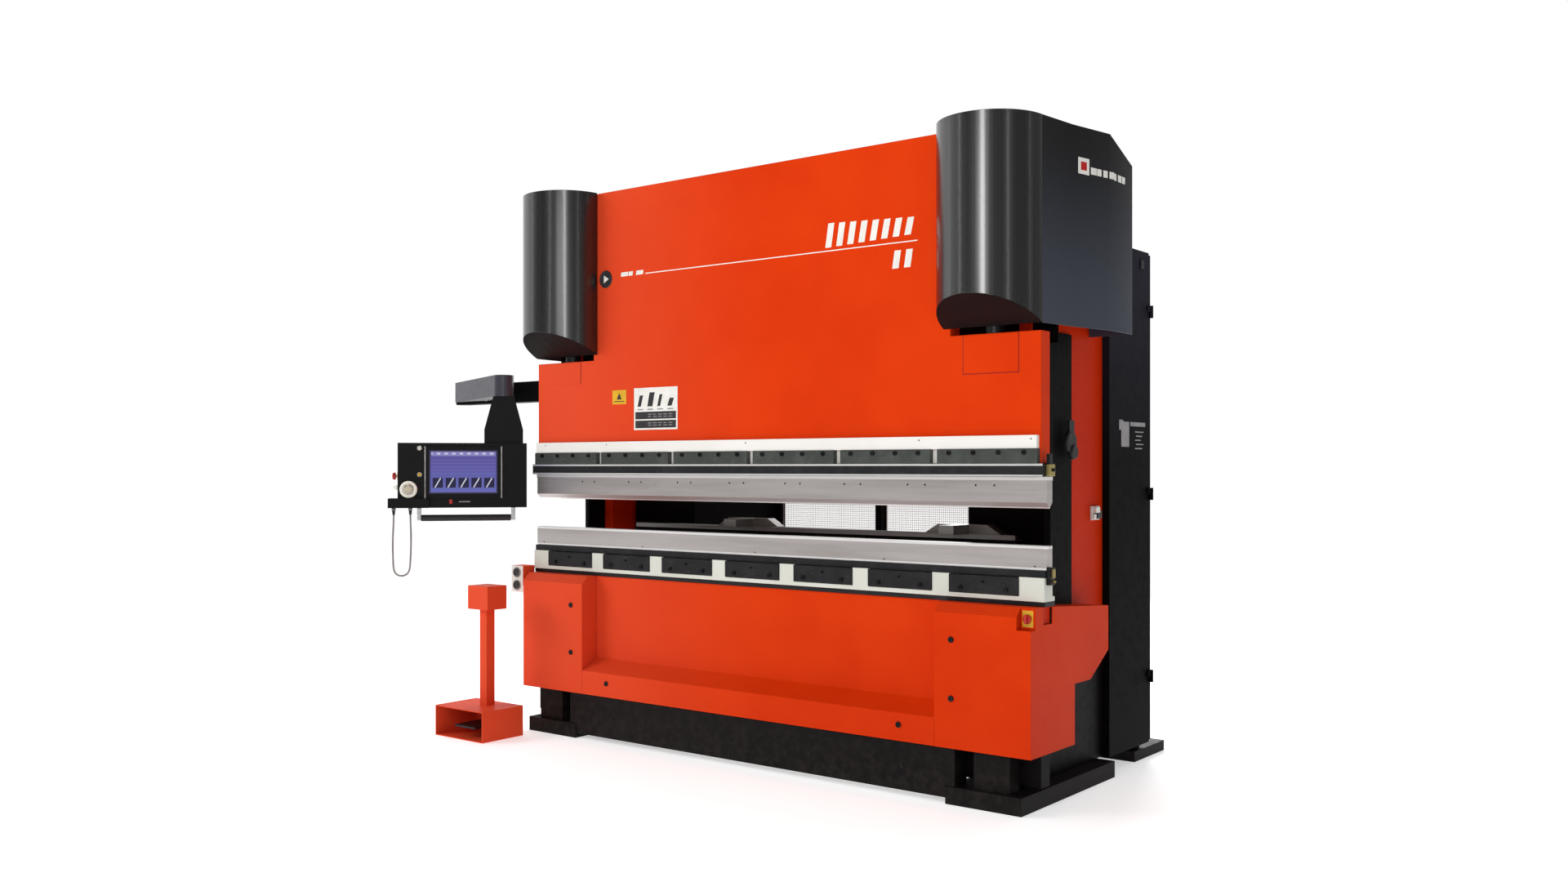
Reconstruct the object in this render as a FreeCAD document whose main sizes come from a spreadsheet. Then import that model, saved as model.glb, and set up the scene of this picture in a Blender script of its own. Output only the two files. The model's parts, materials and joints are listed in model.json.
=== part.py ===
import FreeCAD
import Part
import Sketcher
import math
import os
import re

# A hydraulic press brake: a bed and a ram between two C-shaped side frames, with a back gauge,
# rear cabinets, sheet-metal covers, a control panel on a folding arm and a loose foot pedal.
# Millimetres. +X runs along the bed, +Y to the back, +Z up. The origin is on the floor, in the
# middle of the four anchor holes of the two foot plates. A cutter, and a piece that melts into
# its neighbour, runs 1 or 2 mm past the face, so those small numbers are not sizes.

SIZES = [
    # tools and bed
    ("tool_length", 3110), ("tool_plane", -319), ("tool_thickness", 50),
    ("bed_top", 855), ("bed_bottom", 100), ("bed_front", -347), ("bed_thickness", 80),
    ("table_plate_height", 20), ("holder_base_height", 20),
    ("holder_wall_height", 80), ("holder_front", -366), ("holder_back", -272),
    ("clamp_count", 7), ("clamp_pitch", 423), ("clamp_length", 335), ("clamp_depth", 27),
    ("rail_height", 29), ("die_height", 102), ("groove_width", 16), ("groove_depth", 9),
    ("bolt_radius", 8), ("small_bolt_radius", 4), ("bolt_head", 6),
    ("holder_lip", 6), ("holder_rebate", 20), ("clamp_bolt_step", 110), ("clamp_bolt_rise", 22),
    ("centre_bolt_rise", 52), ("clamp_drop", 2), ("rail_lip", 10),
    # punch and ram
    ("open_gap", 154), ("punch_height", 133), ("tip_height", 26), ("shoulder_height", 18),
    ("shoulder_step", 4), ("punch_holder_height", 55), ("punch_holder_overhang", 24),
    ("ram_front", -354), ("ram_thickness", 80), ("ram_height", 1438),
    ("shoulder_z", 2000), ("clamp_row_height", 62),
    ("upper_clamp_depth", 30), ("upper_clamp_count", 6), ("upper_clamp_pitch", 516),
    ("upper_clamp_length", 480), ("nose_bar_height", 56), ("nose_bar_depth", 24),
    ("holder_inset", 6), ("clamp_bolt_drop", 16), ("bar_inset", 8),
    # side frames
    ("frame_gap", 2700), ("frame_thickness", 60), ("frame_back", 508), ("frame_top", 2740),
    ("throat_back", 34), ("throat_top", 1750), ("arm_front", -200), ("throat_radius", 80),
    ("frame_slope_z", 2440), ("frame_slope_y", 330), ("frame_slope_end", 2620),
    # feet
    ("foot_height", 75), ("foot_length", 908),
    ("anchor_y", 415), ("anchor_radius", 13),
    ("leg_front", -430), ("rear_foot_height", 50),
    ("rear_foot_front", 806), ("rear_foot_back", 1171),
    ("pad_side", 40), ("pad_back", 10),
    # sheet-metal covers
    ("sheet_wall", 4), ("cover_front", -458),
    ("cover_bottom", 239), ("cover_bend", 815), ("cover_slant", 40), ("cover_step_y", -54),
    ("cover_step_z", 500), ("cover_chamfer_y", 99), ("cover_chamfer_z", 612),
    ("cover_back", 285), ("cover_back_z", 811), ("cover_shelf_y", -101), ("cover_shelf_z", 839),
    ("panel_bend_top", 417), ("panel_bend_low", 360),
    ("notch_bottom", 763), ("notch_depth", 40), ("fit_gap", 1), ("screw_radius", 10),
    ("screw_head", 5),
    ("slot_depth", 60), ("cover_screw_x", 1165), ("cover_screw_low", 451), ("cover_screw_high", 701),
    ("panel_screw_x", 900), ("panel_screw_z", 310), ("apron_front", -450), ("apron_bottom", 25),
    ("apron_wall", 12),
    # upper covers
    ("hood_bottom", 2030), ("hood_top", 2890), ("hood_radius", 237),
    ("hood_back", -358), ("hood_rise", 120), ("hood_seam_y", -126),
    ("hood_side_y", 127), ("hood_rear_y", 366), ("hood_slope_y", 127),
    ("hood_slope_z", 2790),
    ("hood_overlap", 7),
    # cylinders
    ("barrel_radius", 105), ("bore_radius", 75), ("piston_rod_radius", 40),
    ("barrel_bottom", 2080), ("barrel_top", 2700), ("gland_height", 40), ("piston_z", 2480),
    ("piston_height", 60), ("running_gap", 0.1), ("guide_height", 80),
    ("guide_rise", 5), ("saddle_inset", 60),
    ("tank_depth", 300), ("tank_bottom", 2250), ("tank_height", 310),
    ("motor_radius", 75), ("motor_height", 220),
    # tie beams, encoder plates
    ("tie_front", 60), ("tie_depth", 100), ("tie_bottom", 1850), ("tie_height", 200),
    ("low_tie_front", -220), ("low_tie_depth", 120), ("low_tie_bottom", 150),
    ("low_tie_height", 250), ("scale_plate_front", -64), ("scale_plate_back", 156),
    ("scale_plate_bottom", 740), ("scale_plate_top", 2025), ("scale_plate_thick", 12),
    ("scale_plate_gap", 2), ("spacer_radius", 20),
    ("spacer_back", 50), ("spacer_inset", 60), ("reader_reach", 24), ("reader_thick", 30),
    ("reader_bottom", 960), ("reader_top", 1700),
    # switch and socket boxes
    ("switch_plate", 4), ("switch_margin", 4), ("knob_radius", 20), ("knob_length", 26),
    ("socket_front", -444),
    ("socket_depth", 84), ("socket_bottom", 745), ("socket_top", 890), ("socket_radius", 24),
    ("socket_cap", 6), ("socket_low", 38), ("socket_high", 108), ("socket_foot_drop", 18),
    ("socket_foot_rise", 40), ("switch_pin", 8),
    # rear cabinets and guard
    ("cabinet_front", 196), ("cabinet_back", 966), ("cabinet_top", 2490), ("cabinet_wall", 3),
    ("door_thickness", 18), ("door_gap", 1), ("hinge_radius", 9), ("pin_radius", 5),
    ("hinge_height", 60), ("hinge_reach", 10), ("handle_length", 160),
    ("handle_width", 25), ("handle_inset", 40), ("handle_z", 1100), ("hinge_low", 400),
    ("hinge_middle", 1300), ("hinge_high", 2200), ("hinge_plate", 36), ("hinge_tail", 20),
    ("door_inset", 2), ("door_end", 10), ("guard_bottom", 250),
    ("guard_top", 2000), ("guard_post", 40), ("mullion_left", -137), ("mullion_right", 499),
    ("mesh_wall", 3),
    ("leaf_width", 30), ("leaf_left", 14), ("leaf_gap", 4), ("mesh_inset", 6), ("rear_pull_z", 1050),
    ("rear_pull_length", 150), ("rear_pull_inset", 8), ("rear_pull_width", 20),
    ("rear_hinge_low", 500), ("rear_hinge_middle", 1125), ("rear_hinge_high", 1750),
    # back gauge
    ("gauge_rail_width", 80), ("gauge_rail_back", 420),
    ("gauge_rail_bottom", 740), ("gauge_rail_height", 80),
    ("ball_screw_radius", 12), ("bearing_thick", 30),
    ("bearing_reach", 40),
    ("bearing_inset", 5), ("carriage_overhang", 20), ("nut_gap", 5), ("slide_gap", 0.3),
    ("carriage_front", 40), ("carriage_depth", 130), ("carriage_height", 50),
    ("column_height", 140), ("post_radius", 20),
    ("column_half", 35), ("post_seat", 10), ("rack_end", 10), ("rack_inset", 2), ("gauge_beam_front", 60),
    ("gauge_beam_depth", 90), ("gauge_beam_height", 85),
    ("rack_height", 20), ("rack_width", 22),
    ("finger_left_x", -400), ("finger_base", 400),
    ("finger_base_height", 64), ("finger_width", 80), ("finger_tip", -60),
    ("finger_side", 24), ("finger_gap", 5), ("finger_rise", 2),
    # control arm and panel
    ("arm_pivot_y", -130),
    ("panel_y", -444), ("arm_width", 100), ("arm_bottom", 1810), ("arm_height", 116),
    ("tongue_height", 14), ("ear_thickness", 18), ("arm_pin_radius", 15),
    ("bracket_depth", 60), ("outer_arm_width", 110), ("outer_arm_top", 1943),
    ("swivel_pin_radius", 20), ("swivel_pin_length", 77), ("panel_left", 565),
    ("panel_right", 125), ("panel_bottom", 1210), ("panel_top", 1565), ("panel_front", 60),
    ("panel_depth", 100), ("panel_wall", 4), ("neck_half_top", 57), ("neck_half_low", 105),
    ("neck_low", 1640), ("neck_depth", 90), ("shelf_reach", 50), ("shelf_length", 215),
    ("shelf_height", 52), ("shelf_front", 25), ("bezel_left", 424), ("bezel_right", 8),
    ("bezel_bottom", 1262), ("bezel_top", 1547), ("bezel_thick", 6), ("dial_x", 507),
    ("dial_z", 1311), ("dial_radius", 47), ("dial_thick", 20), ("stop_z", 1383),
    ("stop_radius", 20), ("stop_length", 24), ("stem_radius", 8), ("button_x", 450),
    ("button_radius", 9), ("button_length", 12), ("start_z", 1392), ("pause_z", 1536),
    ("grip_radius", 17.5), ("grip_left", 440), ("grip_right", 40), ("grip_z", 1155),
    ("grip_bracket", 22),
    ("grip_half_depth", 14), ("neck_front", 6), ("gland_radius", 9), ("gland_length", 15),
    ("bore_depth", 22), ("key_depth", 12),
    ("key_stand", 5), ("stop_stand", 8), ("axle_length", 16), ("cable_radius", 5),
    # foot pedal
    ("station_left", -1790), ("station_right", -1405), ("station_front", -854),
    ("station_back", -579), ("station_height", 160), ("station_wall", 5), ("station_x", -1569),
    ("station_y", -685), ("station_post", 55), ("head_bottom", 675), ("head_height", 125),
    ("head_width", 160), ("head_depth", 130), ("pedal_width", 165), ("pedal_front", -835),
    ("pedal_back", -640), ("pedal_z", 60), ("pedal_thick", 10), ("pedal_pin_radius", 6),
    ("ear_thick", 10), ("ear_gap", 4), ("hinge_back", 10), ("hub_wall", 6), ("hub_drop", 8),
]

# sizes that follow others: each is the sum of shares of them and a step of its own
FOLLOWERS = [
    ("foot_inner", {"frame_gap": 0.5}, -216),
    ("foot_outer", {"frame_gap": 0.5}, 146),
    ("anchor_x", {"frame_gap": 0.5}, 112),
    ("leg_inner", {"frame_gap": 0.5}, -90),
    ("leg_outer", {"frame_gap": 0.5}, 80),
    ("rear_foot_inner", {"frame_gap": 0.5}, -350),
    ("rear_foot_outer", {"frame_gap": 0.5}, 90),
    ("bed_length", {"frame_gap": 1}, 360),
    ("apron_half", {"frame_gap": 0.5}, -172),
    ("ram_width", {"frame_gap": 1}, 368),
    ("ram_neck_width", {"frame_gap": 1}, -500),
    ("cover_inner", {"frame_gap": 0.5}, -268),
    ("cover_outer", {"frame_gap": 0.5}, 191),
    ("notch_inner", {"cover_outer": 1}, -66),
    ("hood_x", {"frame_gap": 0.5}, -45),
    ("hood_inner_x", {"frame_gap": 0.5}, -238),
    ("hood_front_x", {"frame_gap": 0.5}, 191),
    ("hood_seam_x", {"frame_gap": 0.5}, 217),
    ("hood_side_x", {"frame_gap": 0.5}, 270),
    ("cylinder_x", {"frame_gap": 0.5}, -50),
    ("tank_inner", {"frame_gap": 0.5}, -200),
    ("cabinet_inner", {"frame_gap": 0.5}, -480),
    ("cabinet_neck", {"frame_gap": 0.5}, -30),
    ("cabinet_outer", {"frame_gap": 0.5}, 95),
    ("gauge_rail_x", {"frame_gap": 0.5}, -650),
    ("screw_x", {"gauge_rail_x": 1}, -100),
    ("gauge_beam_length", {"frame_gap": 1}, -300),
    ("finger_right_x", {"gauge_beam_length": 0.5}, -300),
    ("gauge_beam_bottom", {"gauge_rail_bottom": 1, "gauge_rail_height": 1, "slide_gap": 1,
                           "carriage_height": 1, "column_height": 1}, 4.7),
    ("socket_inner", {"tool_length": 0.5}, 5),
    ("socket_outer", {"socket_inner": 1}, 95),
    ("arm_pivot_x", {"frame_gap": -0.5}, -190),
    ("panel_x", {"tool_length": -0.5}, -165),
    ("elbow_x", {"panel_x": 1}, -730),
    ("arm_end", {"elbow_x": 1}, 270),
]

# the panel faces half sideways, the outer arm points at it from the elbow
PANEL_ANGLE = 50
CABLE_POINTS = [
    (-588, 1195), (-588, 1135), (-592, 1070), (-593.5, 998), (-591.5, 925), (-588, 862),
    (-563.5, 838), (-528.5, 838), (-504, 862), (-499.5, 925), (-497, 998), (-496.5, 1070),
    (-500, 1135), (-500, 1195),
]
CABLE_Y = -20
START_RADIUS = 900

os.makedirs("parts", exist_ok=True)
doc = FreeCAD.newDocument("PressBrake")
sheet = doc.addObject("Spreadsheet::Sheet", "Sizes")
for row, (alias, value) in enumerate(SIZES, 1):
    sheet.set("A%d" % row, alias)
    sheet.set("B%d" % row, str(value))
    sheet.setAlias("B%d" % row, alias)
VALUE = dict(SIZES)
FORMULA = {name: "Sizes." + name for name in VALUE}
for row, (name, shares, step) in enumerate(FOLLOWERS, len(SIZES) + 1):
    sheet.set("A%d" % row, name + "_step")
    sheet.set("B%d" % row, str(step))
    sheet.setAlias("B%d" % row, name + "_step")
    VALUE[name] = step + sum(share * VALUE[leader] for leader, share in shares.items())
    FORMULA[name] = "(Sizes.%s_step + %s)" % (name, " + ".join(
        "%s * %s" % (share, FORMULA[leader]) for leader, share in shares.items()))
doc.recompute()
NODES = []
VECTOR = FreeCAD.Vector
TURN = {"x": FreeCAD.Rotation(VECTOR(0, 1, 0), 90),
        "y": FreeCAD.Rotation(VECTOR(1, 0, 0), -90),
        "z": FreeCAD.Rotation()}


def bind(item, path, formula):
    """Tie one property to the sheet; words in the formula are names of sizes."""
    cells = re.sub(r"[a-z][a-z_]+", lambda word: FORMULA.get(word.group(), word.group()),
                   str(formula))
    item.setExpression(path, cells)


def move(item, corner):
    for axis, formula in zip("xyz", corner):
        bind(item, "Placement.Base." + axis, formula)


def block(xs, ys, zs):
    """A box between a low and a high formula on each axis."""
    piece = doc.addObject("Part::Box", "Block")
    for side, (low, high) in zip(("Length", "Width", "Height"), (xs, ys, zs)):
        bind(piece, side, "(%s) - (%s)" % (high, low))
    move(piece, (xs[0], ys[0], zs[0]))
    return piece


def rod(axis, start, radius, length):
    """A cylinder that starts at a point and runs along +x, +y or +z."""
    piece = doc.addObject("Part::Cylinder", "Rod")
    bind(piece, "Radius", radius)
    bind(piece, "Height", length)
    piece.Placement = FreeCAD.Placement(VECTOR(), TURN[axis])
    move(piece, start)
    return piece


def fuse(pieces):
    item = doc.addObject("Part::MultiFuse", "Fuse")
    item.Shapes = pieces
    return item


def group(pieces):
    item = doc.addObject("Part::Compound", "Group")
    item.Links = pieces
    return item


def cut(base, tools):
    item = doc.addObject("Part::Cut", "Cut")
    item.Base = base
    item.Tool = tools[0] if len(tools) == 1 else fuse(tools)
    return item


def mirrored(source):
    item = doc.addObject("Part::Mirroring", "Mirror")
    item.Source = source
    item.Normal = VECTOR(1, 0, 0)
    return item


def origin_plane(body, name):
    return [item for item in body.Origin.OriginFeatures if item.Role == name + "_Plane"][0]


def prism(plane, outline, low, high):
    """A padded sketch. The outline is a ring of formula pairs on the XY, XZ or YZ plane."""
    body = doc.addObject("PartDesign::Body", "Body")
    sketch = body.newObject("Sketcher::SketchObject", "Outline")
    sketch.AttachmentSupport = [(origin_plane(body, plane), "")]
    sketch.MapMode = "FlatFace"
    count = len(outline)
    # the corners start on a wide circle, and their constraints then draw them to their places
    turns = [2 * math.pi * k / count for k in range(count)]
    ring = [VECTOR(START_RADIUS * math.cos(a), START_RADIUS * math.sin(a), 0) for a in turns]
    for k in range(count):
        sketch.addGeometry(Part.LineSegment(ring[k], ring[(k + 1) % count]), False)
    for k in range(count):
        sketch.addConstraint(Sketcher.Constraint("Coincident", k, 2, (k + 1) % count, 1))
    for k, pair in enumerate(outline):
        for kind, formula, start in zip(("DistanceX", "DistanceY"), pair, (ring[k].x, ring[k].y)):
            number = sketch.addConstraint(Sketcher.Constraint(kind, -1, 1, k, 1, start))
            bind(sketch, "Constraints[%d]" % number, formula)
    pad = body.newObject("PartDesign::Pad", "Pad")
    pad.Profile = sketch
    bind(pad, "Length", "(%s) - (%s)" % (high, low))
    body.Tip = pad
    axis = {"XY": "z", "XZ": "y", "YZ": "x"}[plane]
    bind(body, "Placement.Base." + axis, high if plane == "XZ" else low)
    return body


def turned(pieces, corner, angle):
    """A group built about its own upright axis, then turned and put at a corner."""
    item = group(pieces)
    item.Placement = FreeCAD.Placement(VECTOR(), FreeCAD.Rotation(VECTOR(0, 0, 1), angle))
    move(item, corner)
    return item


def node(label, item):
    item.Label = label
    NODES.append(item)
    return item


def both_sides(label, item):
    """A right-hand piece and its left-hand twin, each its own node."""
    node(label + "_right", item)
    node(label + "_left", mirrored(item))


def pair(label, item):
    """A right-hand piece and its left-hand twin in one node."""
    node(label, group([item, mirrored(item)]))


# ---------------------------------------------------------------- frame and base
def make_frames():
    outline = [("bed_front + bed_thickness", "foot_height"), ("frame_back", "foot_height"),
               ("frame_back", "frame_slope_z"), ("frame_slope_y", "frame_slope_end"),
               ("frame_slope_y", "frame_top"), ("arm_front", "frame_top"),
               ("arm_front", "throat_top"), ("throat_back - throat_radius", "throat_top"),
               ("throat_back", "throat_top - throat_radius"),
               ("throat_back", "bed_top + throat_radius"),
               ("throat_back - throat_radius", "bed_top"), ("bed_front + bed_thickness", "bed_top")]
    plate = prism("YZ", outline, "frame_gap / 2", "frame_gap / 2 + frame_thickness")
    both_sides("frame", plate)


def make_foot_plates():
    foot = block(("foot_inner", "foot_outer"), ("-foot_length / 2", "foot_length / 2"),
                 (0, "foot_height"))
    holes = [rod("z", ("anchor_x", side + "anchor_y", -1), "anchor_radius", "foot_height + 2")
             for side in ("-", "")]
    leg = block(("leg_inner", "leg_outer"), ("leg_front", "bed_front"),
                ("foot_height", "cover_bottom - fit_gap"))
    rear = block(("rear_foot_inner", "rear_foot_outer"), ("rear_foot_front", "rear_foot_back"),
                 (0, "rear_foot_height"))
    pad = block(("rear_foot_inner + pad_side", "rear_foot_outer - pad_side"),
                ("rear_foot_front", "cabinet_back - pad_back"),
                ("rear_foot_height", "foot_height"))
    pair("foot_plates", group([fuse([cut(foot, holes), leg]), fuse([rear, pad])]))


def make_bed():
    half = "bed_length / 2"
    back = "bed_front + bed_thickness"
    node("lower_beam", block(("-" + half, half), ("bed_front", back), ("bed_bottom", "bed_top")))
    outer = block(("-apron_half", "apron_half"), ("apron_front", "bed_front"),
                  ("apron_bottom", "cover_bottom - fit_gap"))
    inner = block(("apron_wall - apron_half", "apron_half - apron_wall"),
                  ("apron_front + apron_wall", "bed_front + 1"), ("apron_bottom - 1", "cover_bottom"))
    step = block(("foot_inner - fit_gap", "apron_half + 1"), ("apron_front - 1", "bed_front + 1"),
                 ("apron_bottom - 1", "foot_height"))
    node("base_apron", cut(outer, [inner, step, mirrored(step)]))
    upper = block(("-frame_gap / 2", "frame_gap / 2"), ("tie_front", "tie_front + tie_depth"),
                  ("tie_bottom", "tie_bottom + tie_height"))
    lower = block(("-frame_gap / 2", "frame_gap / 2"),
                  ("low_tie_front", "low_tie_front + low_tie_depth"),
                  ("low_tie_bottom", "low_tie_bottom + low_tie_height"))
    node("tie_beams", group([upper, lower]))


# ---------------------------------------------------------------- lower tools
def clamp_centres():
    count = VALUE["clamp_count"]
    return ["clamp_pitch * %s" % (k - (count - 1) / 2) for k in range(count)]


def make_lower_tools():
    half = "tool_length / 2"
    plate_top = "bed_top + table_plate_height"
    base_top = plate_top + " + holder_base_height"
    wall_top = base_top + " + holder_wall_height"
    rail_top = wall_top + " + rail_height"
    clamp_back = "holder_front + clamp_depth - holder_lip"
    node("table_plate", block(("-" + half, half), ("holder_front + holder_lip", "holder_back"),
                              ("bed_top", plate_top)))
    base = block(("-" + half, half), ("holder_front", "holder_back"), (plate_top, base_top))
    wall = block(("-" + half, half), ("holder_front", "holder_back - holder_rebate"),
                 (base_top, wall_top))
    pockets = [block(("%s - clamp_length / 2 - fit_gap" % x, "%s + clamp_length / 2 + fit_gap" % x),
                     ("holder_front - 1", clamp_back), (base_top, wall_top + " + 1"))
               for x in clamp_centres()]
    node("die_holder", cut(fuse([base, wall]), [group(pockets)]))
    clamps = [block(("%s - clamp_length / 2" % x, "%s + clamp_length / 2" % x),
                    ("holder_front - holder_lip", clamp_back), (base_top, wall_top + " - clamp_drop"))
              for x in clamp_centres()]
    node("die_clamps", group(clamps))
    heads = []
    for x in clamp_centres():
        for step, rise, radius in ((" - clamp_bolt_step", "clamp_bolt_rise", "bolt_radius"),
                                   (" + clamp_bolt_step", "clamp_bolt_rise", "bolt_radius"),
                                   ("", "centre_bolt_rise", "small_bolt_radius")):
            heads.append(rod("y", (x + step, "holder_front - holder_lip - bolt_head",
                                   base_top + " + " + rise), radius, "bolt_head"))
    node("die_clamp_bolts", group(heads))
    node("die_rail", block(("-" + half, half), ("holder_front + rail_lip", "holder_back - holder_rebate"),
                           (wall_top, rail_top)))
    die_top = rail_top + " + die_height"
    die = block(("-" + half, half),
                ("tool_plane - tool_thickness / 2", "tool_plane + tool_thickness / 2"),
                (rail_top, die_top))
    groove = prism("YZ", [("tool_plane - groove_width / 2", die_top),
                          ("tool_plane", die_top + " - groove_depth"),
                          ("tool_plane + groove_width / 2", die_top),
                          ("tool_plane", die_top + " + groove_depth")],
                   "-tool_length / 2 - 1", "tool_length / 2 + 1")
    node("die", cut(die, [groove]))
    return die_top


# ---------------------------------------------------------------- ram and punch
def make_ram(die_top):
    half = "tool_length / 2"
    tip = die_top + " + open_gap"
    punch_top = tip + " + punch_height"
    holder_top = punch_top + " + punch_holder_height"
    front = "tool_plane - tool_thickness / 2"
    back = "tool_plane + tool_thickness / 2"
    neck = punch_top + " - shoulder_height"
    outline = [("tool_plane", tip), (back, tip + " + tip_height"), (back, neck),
               (back + " + shoulder_step", neck), (back + " + shoulder_step", punch_top),
               (front + " - shoulder_step", punch_top), (front + " - shoulder_step", neck),
               (front, neck), (front, tip + " + tip_height")]
    node("punch", prism("YZ", outline, "-" + half, half))
    node("punch_holder", block(("-" + half, half), ("ram_front - punch_holder_overhang",
                                                    "ram_front + ram_thickness - holder_inset"),
                               (punch_top, holder_top)))
    row_top = holder_top + " + clamp_row_height"
    clamps = []
    heads = []
    for k in range(VALUE["upper_clamp_count"]):
        x = "upper_clamp_pitch * %s" % (k - (VALUE["upper_clamp_count"] - 1) / 2)
        clamps.append(block((x + " - upper_clamp_length / 2", x + " + upper_clamp_length / 2"),
                            ("ram_front - upper_clamp_depth", "ram_front"), (holder_top, row_top)))
        for step in (-1.5, -0.5, 0.5, 1.5):
            heads.append(rod("y", ("%s + %s * upper_clamp_length / 4" % (x, step),
                                   "ram_front - upper_clamp_depth - bolt_head",
                                   row_top + " - clamp_bolt_drop"), "bolt_radius", "bolt_head"))
    node("punch_clamps", group(clamps))
    node("punch_clamp_bolts", group(heads))
    node("nose_bar", block(("bar_inset - ram_width / 2", "ram_width / 2 - bar_inset"),
                           ("ram_front - nose_bar_depth", "ram_front"),
                           (row_top, row_top + " + nose_bar_height")))
    outline = [("-ram_width / 2", holder_top), ("ram_width / 2", holder_top),
               ("ram_width / 2", "shoulder_z"), ("ram_neck_width / 2", "shoulder_z"),
               ("ram_neck_width / 2", holder_top + " + ram_height"),
               ("-ram_neck_width / 2", holder_top + " + ram_height"),
               ("-ram_neck_width / 2", "shoulder_z"), ("-ram_width / 2", "shoulder_z")]
    node("ram", prism("XZ", outline, "ram_front", "ram_front + ram_thickness"))


def make_cylinders():
    centre = ("cylinder_x", "ram_front + ram_thickness / 2")
    barrel = rod("z", centre + ("barrel_bottom",), "barrel_radius", "barrel_top - barrel_bottom")
    saddle = block(("frame_gap / 2", "frame_gap / 2 + frame_thickness"),
                   ("ram_front + ram_thickness / 2", "arm_front"),
                   ("barrel_bottom + saddle_inset", "barrel_top - saddle_inset"))
    bore = rod("z", centre + ("barrel_bottom + gland_height",), "bore_radius",
               "barrel_top - barrel_bottom - 2 * gland_height")
    gland = rod("z", centre + ("barrel_bottom - 1",), "piston_rod_radius + running_gap",
                "gland_height + 2")
    pair("cylinders", cut(fuse([barrel, saddle]), [bore, gland]))
    shaft = rod("z", centre + ("shoulder_z",), "piston_rod_radius", "piston_z - shoulder_z")
    piston = rod("z", centre + ("piston_z",), "bore_radius - running_gap", "piston_height")
    pair("piston_rods", fuse([shaft, piston]))
    pair("ram_guides", block(("frame_gap / 2", "frame_gap / 2 + frame_thickness"),
                             ("ram_front + ram_thickness + slide_gap", "arm_front"),
                             ("throat_top + guide_rise", "throat_top + guide_rise + guide_height")))
    tank = block(("tank_inner", "frame_gap / 2"), ("-tank_depth / 2", "tank_depth / 2"),
                 ("tank_bottom", "tank_bottom + tank_height"))
    motor = rod("z", ("(tank_inner + frame_gap / 2) / 2", 0, "tank_bottom + tank_height"),
                "motor_radius", "motor_height")
    pair("hydraulic_units", fuse([tank, motor]))


# ---------------------------------------------------------------- lower covers
def cover_outline(wall):
    """Side view of an end cover, drawn in by the wall for its inside."""
    top = "bed_top - %s" % wall
    return [("cover_front + %s" % wall, "cover_bottom - %s" % (1 if wall else 0)),
            ("cover_step_y - %s" % wall, "cover_bottom - %s" % (1 if wall else 0)),
            ("cover_step_y - %s" % wall, "cover_step_z + %s" % wall),
            ("cover_chamfer_y", "cover_step_z + %s" % wall),
            ("cover_back", "cover_chamfer_z + %s" % wall),
            ("cover_back + %s" % (1 if wall else 0), "cover_back_z - %s" % wall),
            ("cover_shelf_y", "cover_shelf_z - %s" % wall), ("bed_front", top),
            ("cover_front + cover_slant + %s / 2" % wall, top),
            ("cover_front + %s" % wall, "cover_bend - %s / 2" % wall)]


def end_cover(notch):
    outer = prism("YZ", cover_outline(0), "cover_inner", "cover_outer")
    inner = prism("YZ", cover_outline("sheet_wall"), "cover_inner + sheet_wall",
                  "cover_outer - sheet_wall")
    if notch:
        corner = block(("notch_inner", "cover_outer + 1"),
                       ("cover_front - 1", "cover_front + notch_depth"),
                       ("notch_bottom", "bed_top + 1"))
        lining = block(("notch_inner - sheet_wall", "cover_outer + 1"),
                       ("cover_front - 1", "cover_front + notch_depth + sheet_wall"),
                       ("notch_bottom - sheet_wall", "bed_top + 1"))
        outer = cut(outer, [corner])
        inner = cut(inner, [lining])
    room = block(("cover_inner - 1", "frame_gap / 2 + frame_thickness + scale_plate_gap"
                  " + scale_plate_thick + fit_gap"),
                 ("bed_front", "cover_back + 2"), ("cover_bottom - 2", "bed_top + 1"))
    slot = block(("cover_inner - 1", "cover_outer + 1"),
                 ("bed_front", "bed_front + bed_thickness + fit_gap"),
                 ("cover_shelf_z - slot_depth", "bed_top + 1"))
    return cut(outer, [inner, room, slot])


def make_lower_covers():
    node("end_cover_right", end_cover(True))
    node("end_cover_left", mirrored(end_cover(False)))
    half = "cover_inner - fit_gap"
    flange = "cover_front + sheet_wall"
    outline = [("bed_front - sheet_wall", "bed_top"), ("bed_front", "bed_top"),
               ("bed_front", "panel_bend_top"), (flange, "panel_bend_low"),
               (flange, "cover_bottom"), ("cover_front", "cover_bottom"),
               ("cover_front", "panel_bend_low + 2"), ("bed_front - sheet_wall", "panel_bend_top + 2")]
    node("front_panel", prism("YZ", outline, "-(%s)" % half, half))
    heads = []
    for x, z in (("cover_screw_x", "cover_screw_high"), ("cover_screw_x", "cover_screw_low"),
                 ("panel_screw_x", "panel_screw_z")):
        for side in ("-", ""):
            heads.append(rod("y", (side + x, "cover_front - screw_head", z),
                             "screw_radius", "screw_head"))
    node("cover_screws", group(heads))


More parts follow.
